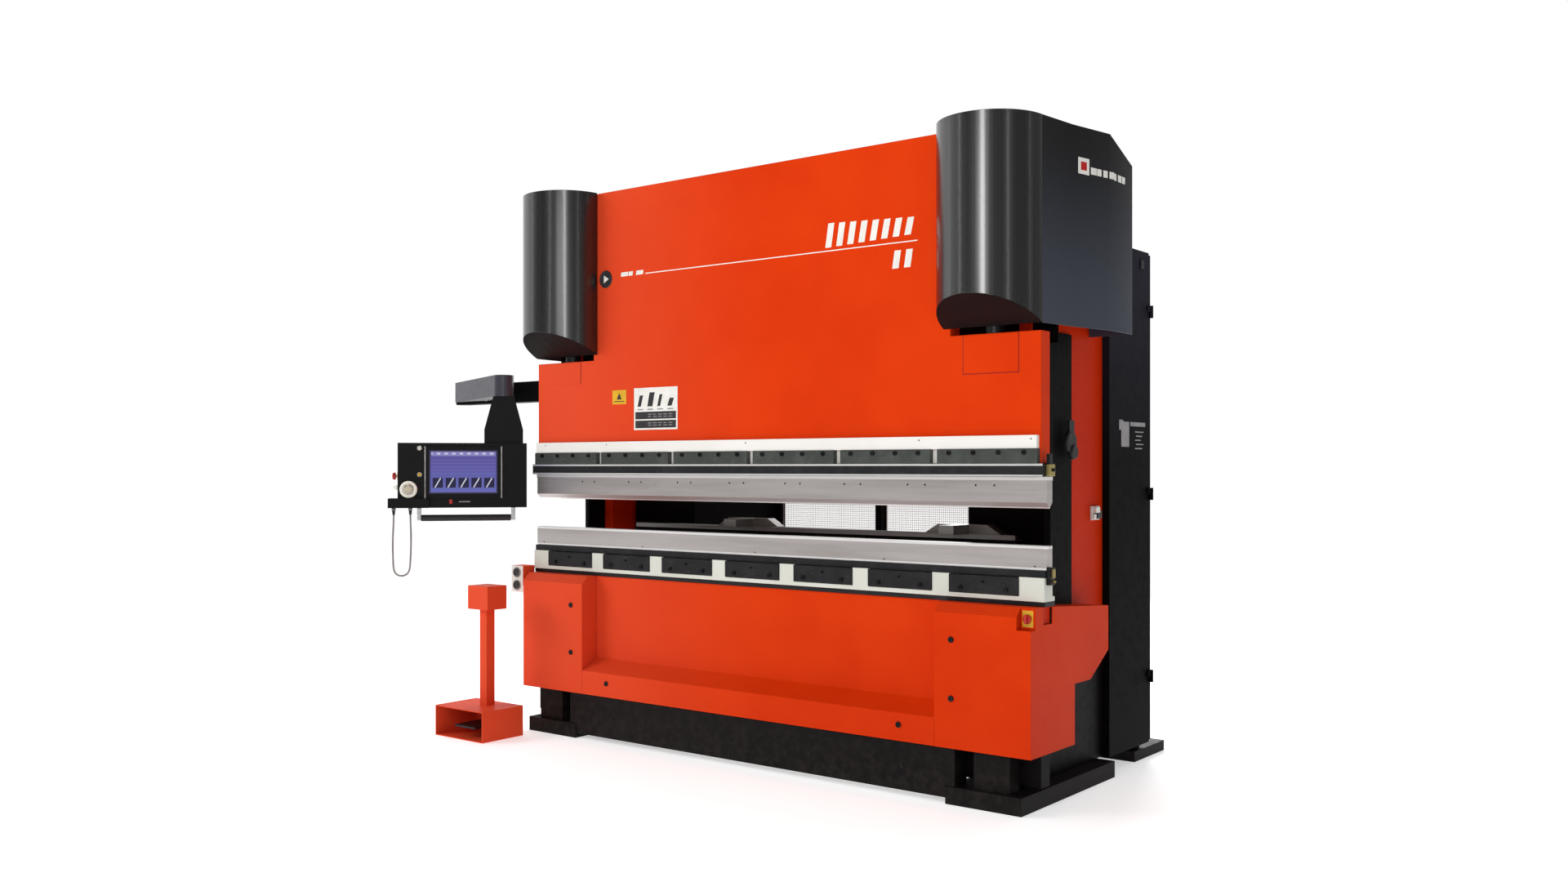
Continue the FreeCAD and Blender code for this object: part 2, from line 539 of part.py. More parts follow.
def make_switch_and_sockets():
    front = "cover_front + notch_depth"
    inner = "notch_inner + switch_margin"
    outer = "cover_outer - switch_margin"
    centre_x = "(notch_inner + cover_outer) / 2"
    centre_z = "(notch_bottom + bed_top) / 2"
    plate = block((inner, outer), (front + " - switch_plate", front),
                  ("notch_bottom + switch_margin", "bed_top - switch_margin"))
    pin = rod("y", (centre_x, front + " - switch_plate - switch_pin", centre_z),
              "pin_radius", "switch_pin")
    node("switch_box", fuse([plate, pin]))
    knob = rod("y", (centre_x, front + " - switch_plate - slide_gap - knob_length", centre_z),
               "knob_radius", "knob_length")
    bore = rod("y", (centre_x, front + " - switch_plate - switch_pin - slide_gap", centre_z),
               "pin_radius + running_gap", "switch_pin + 1")
    node("main_switch_knob", cut(knob, [bore]))
    body = block(("-socket_outer", "-socket_inner"), ("socket_front", "socket_front + socket_depth"),
                 ("socket_bottom", "socket_top"))
    foot = block(("-socket_inner", "-cover_outer"), ("socket_front", "socket_front + socket_depth"),
                 ("socket_bottom - socket_foot_drop", "socket_bottom + socket_foot_rise"))
    caps = [rod("y", ("-(socket_inner + socket_outer) / 2", "socket_front - socket_cap",
                      "socket_bottom + " + rise), "socket_radius", "socket_cap")
            for rise in ("socket_low", "socket_high")]
    node("socket_box", fuse([body, foot] + caps))


# ---------------------------------------------------------------- upper covers
def hood_shape(wall):
    """The half-round nose in front of a cylinder, drawn in by the wall."""
    radius = "hood_radius - %s" % wall
    tube = rod("z", ("hood_x", "hood_back + hood_overlap", "hood_bottom"), radius, "hood_top - hood_bottom")
    if wall:
        tube = rod("z", ("hood_x", "hood_back + hood_overlap", "hood_bottom - 1"), radius,
                   "hood_top - hood_bottom + 1 - sheet_wall")
    outline = [("hood_back + 400", "hood_bottom - 10 + %s" % wall),
               ("hood_back", "hood_bottom + %s" % wall),
               ("hood_back - hood_radius", "hood_bottom + hood_rise + %s" % wall),
               ("hood_back - hood_radius - 20", "hood_bottom + hood_rise + %s" % wall),
               ("hood_back - hood_radius - 20", "hood_bottom - 20"),
               ("hood_back + 400", "hood_bottom - 20")]
    below = prism("YZ", outline, "hood_x - hood_radius - 10", "hood_x + hood_radius + 10")
    behind = block(("hood_x - hood_radius - 10", "hood_x + hood_radius + 10"),
                   ("hood_back", "hood_back + 400"),
                   ("hood_bottom - 20", "hood_top + 10"))
    return cut(tube, [below, behind])


def make_upper_covers():
    both_sides("nose_cover", cut(hood_shape(0), [hood_shape("sheet_wall")]))
    wall = "sheet_wall"
    outline = [("hood_inner_x", "hood_back"), ("hood_front_x", "hood_back"),
               ("hood_seam_x", "hood_seam_y"), ("hood_side_x", "hood_side_y"),
               ("hood_side_x", "hood_rear_y"), ("hood_inner_x", "hood_rear_y")]
    inside = [("hood_inner_x - 1", "hood_back - 1"), ("hood_front_x - sheet_wall", "hood_back - 1"),
              ("hood_seam_x - sheet_wall", "hood_seam_y"), ("hood_side_x - sheet_wall", "hood_side_y"),
              ("hood_side_x - sheet_wall", "hood_rear_y - sheet_wall"),
              ("hood_inner_x - 1", "hood_rear_y - sheet_wall")]
    outer = prism("XY", outline, "hood_bottom", "hood_top")
    hollow = prism("XY", inside, "hood_bottom - 1", "hood_top - sheet_wall")
    corner = [("hood_slope_y", "hood_top + 1"), ("hood_rear_y + 1", "hood_slope_z"),
              ("hood_rear_y + 1", "hood_top + 1")]
    lower_corner = [("hood_slope_y", "hood_top + 1 - sheet_wall"),
                    ("hood_rear_y + 1", "hood_slope_z - sheet_wall"),
                    ("hood_rear_y + 1", "hood_top + 5")]
    slope = prism("YZ", corner, "hood_inner_x - 1", "hood_side_x + 1")
    inner_slope = prism("YZ", lower_corner, "hood_inner_x - 2", "hood_side_x + 2")
    doorway = block(("hood_inner_x - 1", "frame_gap / 2 + frame_thickness + slide_gap"),
                    ("hood_rear_y - 20", "hood_rear_y + 1"), ("hood_bottom - 1", "frame_slope_end"))
    both_sides("side_cover", cut(outer, [slope, cut(hollow, [inner_slope]), doorway]))


def make_encoder_plates():
    face = "frame_gap / 2 + frame_thickness"
    plate = block((face + " + scale_plate_gap", face + " + scale_plate_gap + scale_plate_thick"),
                  ("scale_plate_front", "scale_plate_back"), ("scale_plate_bottom", "scale_plate_top"))
    spacers = [rod("x", (face, "scale_plate_back - spacer_back", z), "spacer_radius", "scale_plate_gap")
               for z in ("scale_plate_bottom + spacer_inset", "scale_plate_top - spacer_inset")]
    reader = block((face + " + scale_plate_gap", face + " + scale_plate_gap + reader_thick"),
                   ("scale_plate_front - reader_reach", "scale_plate_front"),
                   ("reader_bottom", "reader_top"))
    pair("scale_plates", fuse([plate, reader] + spacers))


# ---------------------------------------------------------------- rear cabinets and guard
def lug_and_knuckle(x, y, z, lug_block, knuckle_block):
    """A lug with a pin, fixed, and below it the knuckle that turns on the pin."""
    low = z + " - hinge_height / 2"
    lug = fuse([rod("z", (x, y, z + " + slide_gap"), "hinge_radius", "hinge_height / 2"),
                rod("z", (x, y, low), "pin_radius", "hinge_height / 2 + 1"), lug_block])
    bore = rod("z", (x, y, low + " - 1"), "pin_radius + running_gap", "hinge_height / 2 + 2")
    knuckle = cut(fuse([rod("z", (x, y, low), "hinge_radius", "hinge_height / 2"), knuckle_block]),
                  [bore])
    return lug, knuckle


def make_cabinets():
    plan = [("cabinet_inner", "cabinet_front"), ("cabinet_neck", "cabinet_front"),
            ("cabinet_neck", "frame_back"), ("cabinet_outer", "frame_back"),
            ("cabinet_outer", "cabinet_back"), ("cabinet_inner", "cabinet_back")]
    inside = [("cabinet_inner + cabinet_wall", "cabinet_front + cabinet_wall"),
              ("cabinet_neck - cabinet_wall", "cabinet_front + cabinet_wall"),
              ("cabinet_neck - cabinet_wall", "frame_back + cabinet_wall"),
              ("cabinet_outer - cabinet_wall", "frame_back + cabinet_wall"),
              ("cabinet_outer - cabinet_wall", "cabinet_back + 1"),
              ("cabinet_inner + cabinet_wall", "cabinet_back + 1")]
    shell = cut(prism("XY", plan, "foot_height", "cabinet_top"),
                [prism("XY", inside, "foot_height + cabinet_wall", "cabinet_top - cabinet_wall")])
    pin_x = "cabinet_outer + hinge_reach"
    pin_y = "cabinet_back + door_gap + door_thickness / 2"
    door_back = "cabinet_back + door_gap + door_thickness"
    door = block(("cabinet_inner + door_inset", "cabinet_outer"),
                 ("cabinet_back + door_gap", door_back),
                 ("foot_height + door_end", "cabinet_top - door_end"))
    handle = block(("cabinet_inner + handle_inset", "cabinet_inner + handle_inset + handle_width"),
                   (door_back, door_back + " + handle_width"), ("handle_z", "handle_z + handle_length"))
    fixed = [shell]
    moving = [door, handle]
    for z in ("hinge_low", "hinge_middle", "hinge_high"):
        lug_block = block(("cabinet_outer", pin_x), (pin_y + " - hinge_plate", pin_y),
                          (z + " + slide_gap", z + " + slide_gap + hinge_height / 2"))
        knuckle_block = block(("cabinet_outer - hinge_tail", pin_x), (pin_y, door_back),
                              (z + " - hinge_height / 2", z))
        lug, knuckle = lug_and_knuckle(pin_x, pin_y, z, lug_block, knuckle_block)
        fixed.append(lug)
        moving.append(knuckle)
    both_sides("cabinet", fuse(fixed))
    both_sides("cabinet_door", fuse(moving))


def make_rear_guard():
    front = "cabinet_back - guard_post"
    posts = []
    for x in ("-cabinet_inner", "cabinet_inner - guard_post", "mullion_left - guard_post / 2",
              "mullion_right - guard_post / 2"):
        posts.append(block((x, x + " + guard_post"), (front, "cabinet_back"),
                           ("guard_bottom", "guard_top")))
    for z in ("guard_bottom", "guard_top - guard_post"):
        posts.append(block(("-cabinet_inner", "cabinet_inner"), (front, "cabinet_back"),
                           (z, z + " + guard_post")))
    mesh_y = "cabinet_back - guard_post / 2"
    zs = ("guard_bottom + guard_post", "guard_top - guard_post")
    sheets = [block(("guard_post - cabinet_inner", "mullion_left - guard_post / 2"),
                    (mesh_y, mesh_y + " + mesh_wall"), zs),
              block(("mullion_right + guard_post / 2", "cabinet_inner - guard_post"),
                    (mesh_y, mesh_y + " + mesh_wall"), zs)]
    door_front = "cabinet_back + door_gap"
    door_back = door_front + " + door_thickness"
    left = "mullion_left - guard_post / 2 + leaf_left"
    right = "mullion_right + guard_post / 2 - leaf_gap"
    low = "guard_bottom + leaf_gap"
    high = "guard_top - leaf_gap"
    pull = right + " - rear_pull_inset"
    frame = [block((left, left + " + leaf_width"), (door_front, door_back), (low, high)),
             block((right + " - leaf_width", right), (door_front, door_back), (low, high)),
             block((left, right), (door_front, door_back), (low, low + " + leaf_width")),
             block((left, right), (door_front, door_back), (high + " - leaf_width", high)),
             block((pull + " - rear_pull_width", pull), (door_back, door_back + " + handle_width"),
                   ("rear_pull_z", "rear_pull_z + rear_pull_length"))]
    pin_x = "mullion_left - guard_post / 2"
    pin_y = door_front + " + door_thickness / 2"
    fixed = posts
    moving = frame
    for z in ("rear_hinge_low", "rear_hinge_middle", "rear_hinge_high"):
        lug_block = block((pin_x + " - hinge_radius", pin_x + " + hinge_radius"), ("cabinet_back", pin_y),
                          (z + " + slide_gap", z + " + slide_gap + hinge_height / 2"))
        knuckle_block = block((pin_x, left + " + hinge_tail"), (pin_y, door_back),
                              (z + " - hinge_height / 2", z))
        lug, knuckle = lug_and_knuckle(pin_x, pin_y, z, lug_block, knuckle_block)
        fixed.append(lug)
        moving.append(knuckle)
    node("rear_guard", group([fuse(fixed)] + sheets))
    door_mesh = block((left + " + leaf_width", right + " - leaf_width"),
                      (door_front + " + mesh_inset", door_front + " + mesh_inset + mesh_wall"),
                      (low + " + leaf_width", high + " - leaf_width"))
    node("rear_door", group([fuse(moving), door_mesh]))


# ---------------------------------------------------------------- back gauge
def make_back_gauge():
    beam_back = "bed_front + bed_thickness"
    rail = ("gauge_rail_x - gauge_rail_width / 2", "gauge_rail_x + gauge_rail_width / 2")
    rail_top = "gauge_rail_bottom + gauge_rail_height"
    screw_z = "gauge_rail_bottom + gauge_rail_height / 2"
    inner = "screw_x - bearing_reach"
    rail_block = block(rail, (beam_back, "gauge_rail_back"), ("gauge_rail_bottom", rail_top))
    bearings = [block((inner, rail[0]), (y, y + " + bearing_thick"), ("gauge_rail_bottom", rail_top))
                for y in (beam_back + " + bearing_inset",
                          "gauge_rail_back - bearing_thick - bearing_inset")]
    bore = rod("y", ("screw_x", beam_back + " + 1", screw_z), "ball_screw_radius + running_gap",
               "gauge_rail_back - (%s)" % beam_back)
    pair("gauge_rails", cut(fuse([rail_block] + bearings), [bore]))
    both_sides("ball_screw", rod("y", ("screw_x", beam_back + " + 2", screw_z), "ball_screw_radius",
                                 "gauge_rail_back - (%s) - 4" % beam_back))
    saddle_top = rail_top + " + slide_gap + carriage_height"
    depth = ("carriage_front", "carriage_front + carriage_depth")
    saddle = block((inner, rail[1] + " + carriage_overhang"), depth,
                   (rail_top + " + slide_gap", saddle_top))
    nut = block((inner, rail[0] + " - nut_gap"), depth, ("gauge_rail_bottom + nut_gap", saddle_top))
    post_y = "carriage_front + carriage_depth / 2"
    column = block((rail[0], rail[1]), (post_y + " - column_half", post_y + " + column_half"),
                   (saddle_top, saddle_top + " + column_height"))
    nut_bore = rod("y", ("screw_x", "carriage_front - 1", screw_z), "ball_screw_radius + running_gap",
                   "carriage_depth + 2")
    post_bore = rod("z", ("gauge_rail_x", post_y, saddle_top + " + post_seat / 2"),
                    "post_radius + running_gap", "column_height")
    pair("gauge_carriages", cut(fuse([saddle, nut, column]), [nut_bore, post_bore]))
    half = "gauge_beam_length / 2"
    beam_top = "gauge_beam_bottom + gauge_beam_height"
    beam = block(("-" + half, half), ("gauge_beam_front", "gauge_beam_front + gauge_beam_depth"),
                 ("gauge_beam_bottom", beam_top))
    rack = block(("rack_end - " + half, half + " - rack_end"),
                 ("gauge_beam_front + rack_inset", "gauge_beam_front + rack_inset + rack_width"),
                 (beam_top, beam_top + " + rack_height"))
    posts = [rod("z", (side + "gauge_rail_x", post_y, saddle_top + " + post_seat"), "post_radius",
                 "gauge_beam_bottom - (%s) - post_seat" % saddle_top) for side in ("-", "")]
    node("gauge_beam", fuse([beam, rack] + posts))
    for label, x in (("finger_left", "finger_left_x"), ("finger_right", "finger_right_x")):
        base_low = "gauge_beam_front + rack_width + finger_gap"
        low = beam_top + " + slide_gap"
        outline = [(x + " - finger_base / 2", low), (x + " + finger_base / 2", low),
                   (x + " + finger_base / 2", low + " + finger_side"),
                   (x + " + finger_base / 3", low + " + finger_base_height"),
                   (x + " - finger_base / 3", low + " + finger_base_height"),
                   (x + " - finger_base / 2", low + " + finger_side")]
        base = prism("XZ", outline, base_low, "gauge_beam_front + gauge_beam_depth")
        finger = block((x + " - finger_width / 2", x + " + finger_width / 2"),
                       ("finger_tip", base_low),
                       (beam_top + " + rack_height + finger_rise", low + " + finger_base_height"))
        node(label, fuse([base, finger]))


# ---------------------------------------------------------------- control arm and panel
def make_arms():
    face = "-frame_gap / 2 - frame_thickness"
    arm_top = "arm_bottom + arm_height"
    y_low = "arm_pivot_y - arm_width / 2"
    y_high = "arm_pivot_y + arm_width / 2"
    plate = block((face + " - bracket_depth", face), (y_low, y_high),
                  ("arm_bottom - slide_gap - ear_thickness",
                   arm_top + " + slide_gap + ear_thickness"))
    pieces = [plate]
    for z in ("arm_bottom - slide_gap - ear_thickness", arm_top + " + slide_gap"):
        pieces.append(block(("arm_pivot_x", face), (y_low, y_high), (z, z + " + ear_thickness")))
        pieces.append(rod("z", ("arm_pivot_x", "arm_pivot_y", z), "arm_width / 2", "ear_thickness"))
    pieces.append(rod("z", ("arm_pivot_x", "arm_pivot_y", "arm_bottom - slide_gap - 1"),
                      "arm_pin_radius", "arm_height + 2"))
    node("arm_bracket", fuse(pieces))
    bar = block(("arm_end", "arm_pivot_x"), (y_low, y_high), ("arm_bottom", arm_top))
    boss = rod("z", ("arm_pivot_x", "arm_pivot_y", "arm_bottom"), "arm_width / 2", "arm_height")
    tongue = block(("elbow_x", "arm_end"), (y_low, y_high),
                   ("arm_bottom", "arm_bottom + tongue_height"))
    tip = rod("z", ("elbow_x", "arm_pivot_y", "arm_bottom"), "arm_width / 2", "tongue_height")
    pin = rod("z", ("elbow_x", "arm_pivot_y", "arm_bottom"), "arm_pin_radius", "arm_height")
    bore = rod("z", ("arm_pivot_x", "arm_pivot_y", "arm_bottom - 1"), "arm_pin_radius + running_gap",
               "arm_height + 2")
    node("inner_arm", cut(fuse([bar, boss, tongue, tip, pin]), [bore]))
    run_x = VALUE["panel_x"] - VALUE["elbow_x"]
    run_y = VALUE["panel_y"] - VALUE["arm_pivot_y"]
    reach = "sqrt((panel_x - elbow_x)^2 + (panel_y - arm_pivot_y)^2)"
    low = "arm_bottom + tongue_height + slide_gap"
    beam = block((0, reach), ("-outer_arm_width / 2", "outer_arm_width / 2"), (low, "outer_arm_top"))
    ends = [rod("z", (x, 0, low), "outer_arm_width / 2", "outer_arm_top - (%s)" % low)
            for x in (0, reach)]
    elbow_bore = rod("z", (0, 0, low + " - 1"), "arm_pin_radius + running_gap", "arm_height + 1")
    swivel = rod("z", (reach, 0, low + " - swivel_pin_length"), "swivel_pin_radius",
                 "swivel_pin_length + 1")
    arm = fuse([cut(fuse([beam] + ends), [elbow_bore]), swivel])
    angle = math.degrees(math.atan2(run_y, run_x))
    node("outer_arm", turned([arm], ("elbow_x", "arm_pivot_y", 0), angle))


def on_panel(label, pieces):
    """Pieces of the panel, drawn straight and turned to where it faces."""
    return node(label, turned(pieces, ("panel_x", "panel_y", 0), PANEL_ANGLE))


def make_panel():
    front = "-panel_front"
    back = "panel_depth - panel_front"
    neck_top = "arm_bottom + tongue_height"
    shell = block(("-panel_left", "panel_right"), (front, back), ("panel_bottom", "panel_top"))
    cavity = block(("panel_wall - panel_left", "panel_right - panel_wall"),
                   (front + " + panel_wall", back + " - panel_wall"),
                   ("panel_bottom + panel_wall", "panel_top - panel_wall"))
    outline = [("-neck_half_top", neck_top), ("-neck_half_low", "neck_low"),
               ("-neck_half_low", "panel_top"), ("neck_half_low", "panel_top"),
               ("neck_half_low", "neck_low"), ("neck_half_top", neck_top)]
    neck = prism("XZ", outline, "-neck_depth / 2", "neck_depth / 2 - neck_front")
    shelf = block(("-panel_left - shelf_reach", "-panel_left - shelf_reach + shelf_length"),
                  (front + " - shelf_front", back), ("panel_bottom", "panel_bottom + shelf_height"))
    side = block(("-panel_left - shelf_reach", "-panel_left"), (front, back),
                 ("panel_bottom", "panel_bottom + shelf_height"))
    glands = [rod("z", (x, CABLE_Y, "panel_bottom - gland_length"), "gland_radius", "gland_length + 2")
              for x in (CABLE_POINTS[0][0], CABLE_POINTS[-1][0])]
    swivel_bore = rod("z", (0, 0, neck_top + " - swivel_pin_length"), "swivel_pin_radius + running_gap",
                      "swivel_pin_length + 2")
    dial_bore = rod("y", ("-dial_x", front + " - 2", "dial_z"), "stem_radius + running_gap",
                    "bore_depth")
    stop_bore = rod("x", ("-panel_left - 1", 0, "stop_z"), "stem_radius + running_gap", "bore_depth")
    key_bores = [rod("y", ("-button_x", front + " - 1", z), "button_radius + running_gap",
                     "key_depth") for z in ("start_z", "pause_z")]
    solid = fuse([cut(shell, [cavity]), neck, shelf, side] + glands)
    on_panel("panel_housing", [cut(solid, [swivel_bore, dial_bore, stop_bore] + key_bores)])
    on_panel("panel_screen", [block(("-bezel_left", "-bezel_right"), (front + " - bezel_thick", front),
                                    ("bezel_bottom", "bezel_top"))])
    rim = rod("y", ("-dial_x", front + " - slide_gap - dial_thick", "dial_z"), "dial_radius",
              "dial_thick")
    axle = rod("y", ("-dial_x", front + " - 1", "dial_z"), "stem_radius", "axle_length")
    on_panel("hand_wheel", [fuse([rim, axle])])
    mushroom = rod("x", ("-panel_left - stop_stand - stop_length", 0, "stop_z"), "stop_radius",
                   "stop_length")
    stem = rod("x", ("-panel_left - stop_stand - 1", 0, "stop_z"), "stem_radius",
               "axle_length + stop_stand")
    on_panel("emergency_stop", [fuse([mushroom, stem])])
    for label, z in (("start_button", "start_z"), ("pause_button", "pause_z")):
        on_panel(label, [rod("y", ("-button_x", front + " - key_stand", z), "button_radius",
                             "button_length")])
    bar = rod("x", ("-grip_left", front, "grip_z"), "grip_radius", "grip_left + grip_right")
    pieces = [bar]
    for x in ("-grip_left - grip_bracket", "grip_right"):
        pieces.append(block((x, x + " + grip_bracket"),
                            (front + " - grip_half_depth", front + " + grip_half_depth"),
                            ("grip_z - grip_half_depth", "panel_bottom")))
    on_panel("panel_handle", pieces)


def make_cable():
    """A cable loop below the panel: straight runs joined by arcs tangent to both."""
    points = [VECTOR(x, CABLE_Y, z) for x, z in CABLE_POINTS]
    edges = []
    start = points[0]
    for before, corner, after in zip(points, points[1:], points[2:]):
        back = before - corner
        ahead = after - corner
        half_turn = (math.pi - back.getAngle(ahead)) / 2
        trim = 0.45 * min(back.Length, ahead.Length)
        radius = trim / math.tan(half_turn)
        print("cable radius %.0f mm" % radius)
        back.normalize()
        ahead.normalize()
        first = corner + back * trim
        last = corner + ahead * trim
        middle = corner + (back + ahead).normalize() * (radius / math.cos(half_turn) - radius)
        edges.append(Part.LineSegment(start, first).toShape())
        edges.append(Part.Arc(first, middle, last).toShape())
        start = last
    edges.append(Part.LineSegment(start, points[-1]).toShape())
    path = Part.Wire(edges)
    circle = Part.Circle(points[0], VECTOR(points[1] - points[0]), VALUE["cable_radius"])
    ring = Part.Wire(circle.toShape())
    tube = path.makePipeShell([ring], True, True)
    expected = math.pi * VALUE["cable_radius"] ** 2 * path.Length
    print("cable length %.0f mm, volume ratio %.4f" % (path.Length, tube.Volume / expected))
    cable = doc.addObject("Part::Feature", "Cable")
    cable.Shape = tube
    cable.Placement = FreeCAD.Placement(VECTOR(VALUE["panel_x"], VALUE["panel_y"], 0),
                                        FreeCAD.Rotation(VECTOR(0, 0, 1), PANEL_ANGLE))
    node("cable_loop", cable)


# ---------------------------------------------------------------- foot pedal
def make_pedal_station():
    xs = ("station_left", "station_right")
    hood = block(xs, ("station_front", "station_back"), (0, "station_height"))
    room = block(("station_left + station_wall", "station_right - station_wall"),
                 ("station_front - 1", "station_back - station_wall"),
                 ("station_wall", "station_height - station_wall"))
    half = "station_post / 2"
    post = block(("station_x - " + half, "station_x + " + half),
                 ("station_y - " + half, "station_y + " + half), ("station_height", "head_bottom"))
    head = block(("station_x - head_width / 2", "station_x + head_width / 2"),
                 ("station_y - head_depth / 2", "station_y + head_depth / 2"),
                 ("head_bottom", "head_bottom + head_height"))
    pin_y = "pedal_back - hinge_back"
    pin_z = "pedal_z - hub_drop"
    hub_radius = "pedal_pin_radius + hub_wall"
    ears = []
    for x in ("station_x - pedal_width / 2 - ear_gap - ear_thick",
              "station_x + pedal_width / 2 + ear_gap"):
        ears.append(block((x, x + " + ear_thick"),
                          ("%s - %s - 2" % (pin_y, hub_radius), "%s + %s + 2" % (pin_y, hub_radius)),
                          ("station_wall", "%s + %s" % (pin_z, hub_radius))))
    pin = rod("x", ("station_x - pedal_width / 2 - ear_thick", pin_y, pin_z), "pedal_pin_radius",
              "pedal_width + 2 * ear_thick")
    node("pedal_station", fuse([cut(hood, [room]), post, head, pin] + ears))
    tread = block(("station_x - pedal_width / 2", "station_x + pedal_width / 2"),
                  ("pedal_front", "pedal_back"), ("pedal_z", "pedal_z + pedal_thick"))
    hub = rod("x", ("station_x - pedal_width / 2", pin_y, pin_z), hub_radius, "pedal_width")
    bore = rod("x", ("station_x - pedal_width / 2 - 1", pin_y, pin_z),
               "pedal_pin_radius + running_gap", "pedal_width + 2")
    node("foot_pedal", cut(fuse([tread, hub]), [bore]))


def check_and_write():
    doc.recompute()
    for item in doc.Objects:
        if "Invalid" in item.State or "Error" in item.State:
            raise RuntimeError("%s (%s) failed: %s" % (item.Name, item.Label, item.State))
    for item in NODES:
        if item.Shape.isNull() or not item.Shape.isValid():
            raise RuntimeError("%s has no valid shape" % item.Label)
        count = len(item.Shape.Solids)
        print("%-20s %2d solids %9.2f litres" % (item.Label, count, item.Shape.Volume / 1e6))
    for item in NODES:
        item.Shape.exportStep("parts/%s.step" % item.Label)
    print(len(NODES), "nodes")


make_frames()
make_foot_plates()
make_bed()
make_ram(make_lower_tools())
make_cylinders()
make_lower_covers()
make_switch_and_sockets()
make_upper_covers()
make_encoder_plates()
make_cabinets()
make_rear_guard()
make_back_gauge()
make_arms()
make_panel()
make_cable()
make_pedal_station()
check_and_write()
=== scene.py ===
# %% [markdown]
# A hydraulic press brake bends sheet metal between a long punch, carried by a moving upper beam, and a
# V-shaped die on the bed. This lesson dresses its finished frame: it softens the edges, gives each piece
# its paint, steel or plastic, and adds the small parts that make it look real.

# %% Load the frame
import bpy
import bmesh
import json
import math
from mathutils import Euler, Matrix, Vector

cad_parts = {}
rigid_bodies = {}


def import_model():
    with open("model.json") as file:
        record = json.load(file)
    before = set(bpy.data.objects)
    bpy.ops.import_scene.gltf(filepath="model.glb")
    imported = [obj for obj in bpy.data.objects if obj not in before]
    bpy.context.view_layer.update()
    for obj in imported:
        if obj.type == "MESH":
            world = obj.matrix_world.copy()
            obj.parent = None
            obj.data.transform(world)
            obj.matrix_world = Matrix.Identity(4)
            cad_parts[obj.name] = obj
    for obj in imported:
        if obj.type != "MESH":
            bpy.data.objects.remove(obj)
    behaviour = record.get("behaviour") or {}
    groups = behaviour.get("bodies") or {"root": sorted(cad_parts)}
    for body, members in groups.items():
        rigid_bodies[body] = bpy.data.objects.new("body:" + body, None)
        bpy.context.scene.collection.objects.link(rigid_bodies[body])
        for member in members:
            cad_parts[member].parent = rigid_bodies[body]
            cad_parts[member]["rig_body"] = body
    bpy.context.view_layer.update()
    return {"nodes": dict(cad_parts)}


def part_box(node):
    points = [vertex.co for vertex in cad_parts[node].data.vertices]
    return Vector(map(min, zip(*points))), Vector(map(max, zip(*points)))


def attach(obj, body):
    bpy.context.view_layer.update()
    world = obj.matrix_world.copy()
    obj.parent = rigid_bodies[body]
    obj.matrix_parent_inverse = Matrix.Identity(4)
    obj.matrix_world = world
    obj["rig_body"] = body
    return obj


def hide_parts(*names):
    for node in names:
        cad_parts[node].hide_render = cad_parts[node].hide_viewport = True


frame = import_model()

# %% [markdown]
# The camera stands to the right of the machine at chest height and looks at it aslant. Its height and
# its turn decide how steeply the long edges run, so it is set before any detail. A lens of about 31 mm on
# a full frame takes in the whole machine from just under seven metres.

# %% The camera
CAMERA_PLACE = (4.115, -5.394, 1.433)
CAMERA_TURN = 37.93


def add_object(name, data):
    thing = bpy.data.objects.new(name, data)
    bpy.context.scene.collection.objects.link(thing)
    return thing


eye = bpy.data.cameras.new("view_camera")
eye.lens = 30.91
eye.sensor_width = 36
eye.shift_y = 0.0166
eye.clip_end = 60
camera = add_object("view_camera", eye)
camera.location = CAMERA_PLACE
camera.rotation_euler = Euler((math.radians(90), 0, math.radians(CAMERA_TURN)))
bpy.context.scene.camera = camera
print("camera at", CAMERA_PLACE)

# %% [markdown]
# Every finish here is procedural: numbers flow through nodes. Written node by node that is long, so one
# small class, Flow, wraps a socket and lets Python's own arithmetic add the Math nodes. A second, Nodes,
# adds any other node with a single method. Finish is built on it and owns one material.

# %% Helpers for materials
class Flow:
    """A number, vector, colour or shape on its way through a node tree."""

    def __init__(self, nodes, socket):
        self.nodes = nodes
        self.socket = socket

    def __add__(self, other):
        return self.nodes.math("ADD", self, other)

    def __sub__(self, other):
        return self.nodes.math("SUBTRACT", self, other)

    def __rsub__(self, other):
        return self.nodes.math("SUBTRACT", other, self)

    def __mul__(self, other):
        return self.nodes.math("MULTIPLY", self, other)

    __radd__ = __add__
    __rmul__ = __mul__

    def over(self, edge):
        return self.nodes.math("GREATER_THAN", self, edge)

    def under(self, edge):
        return self.nodes.math("LESS_THAN", self, edge)

    def within(self, low, high):
        return self.over(low) * self.under(high)

    def ramp(self, low, high, start=0.0, end=1.0):
        """start below low, end above high, and a smooth slope between."""
        feeds = {0: self, 1: low, 2: high, 3: start, 4: end}
        return self.nodes.add("ShaderNodeMapRange", feeds, interpolation_type="SMOOTHSTEP")


class Nodes:
    """A node tree that grows by one short call for each node."""

    def __init__(self, tree):
        self.tree = tree

    def add(self, kind, feeds, output=0, **settings):
        """Adds a node. feeds holds a value or a link for each of its sockets."""
        node = self.tree.nodes.new(kind)
        for key, value in settings.items():
            setattr(node, key, value)
        self.fill(node, feeds)
        return Flow(self, node.outputs[output])

    def fill(self, node, feeds):
        for key, value in feeds.items():
            if isinstance(value, Flow):
                self.tree.links.new(value.socket, node.inputs[key])
            else:
                node.inputs[key].default_value = value

    def math(self, operation, *values):
        return self.add("ShaderNodeMath", dict(enumerate(values)), operation=operation)


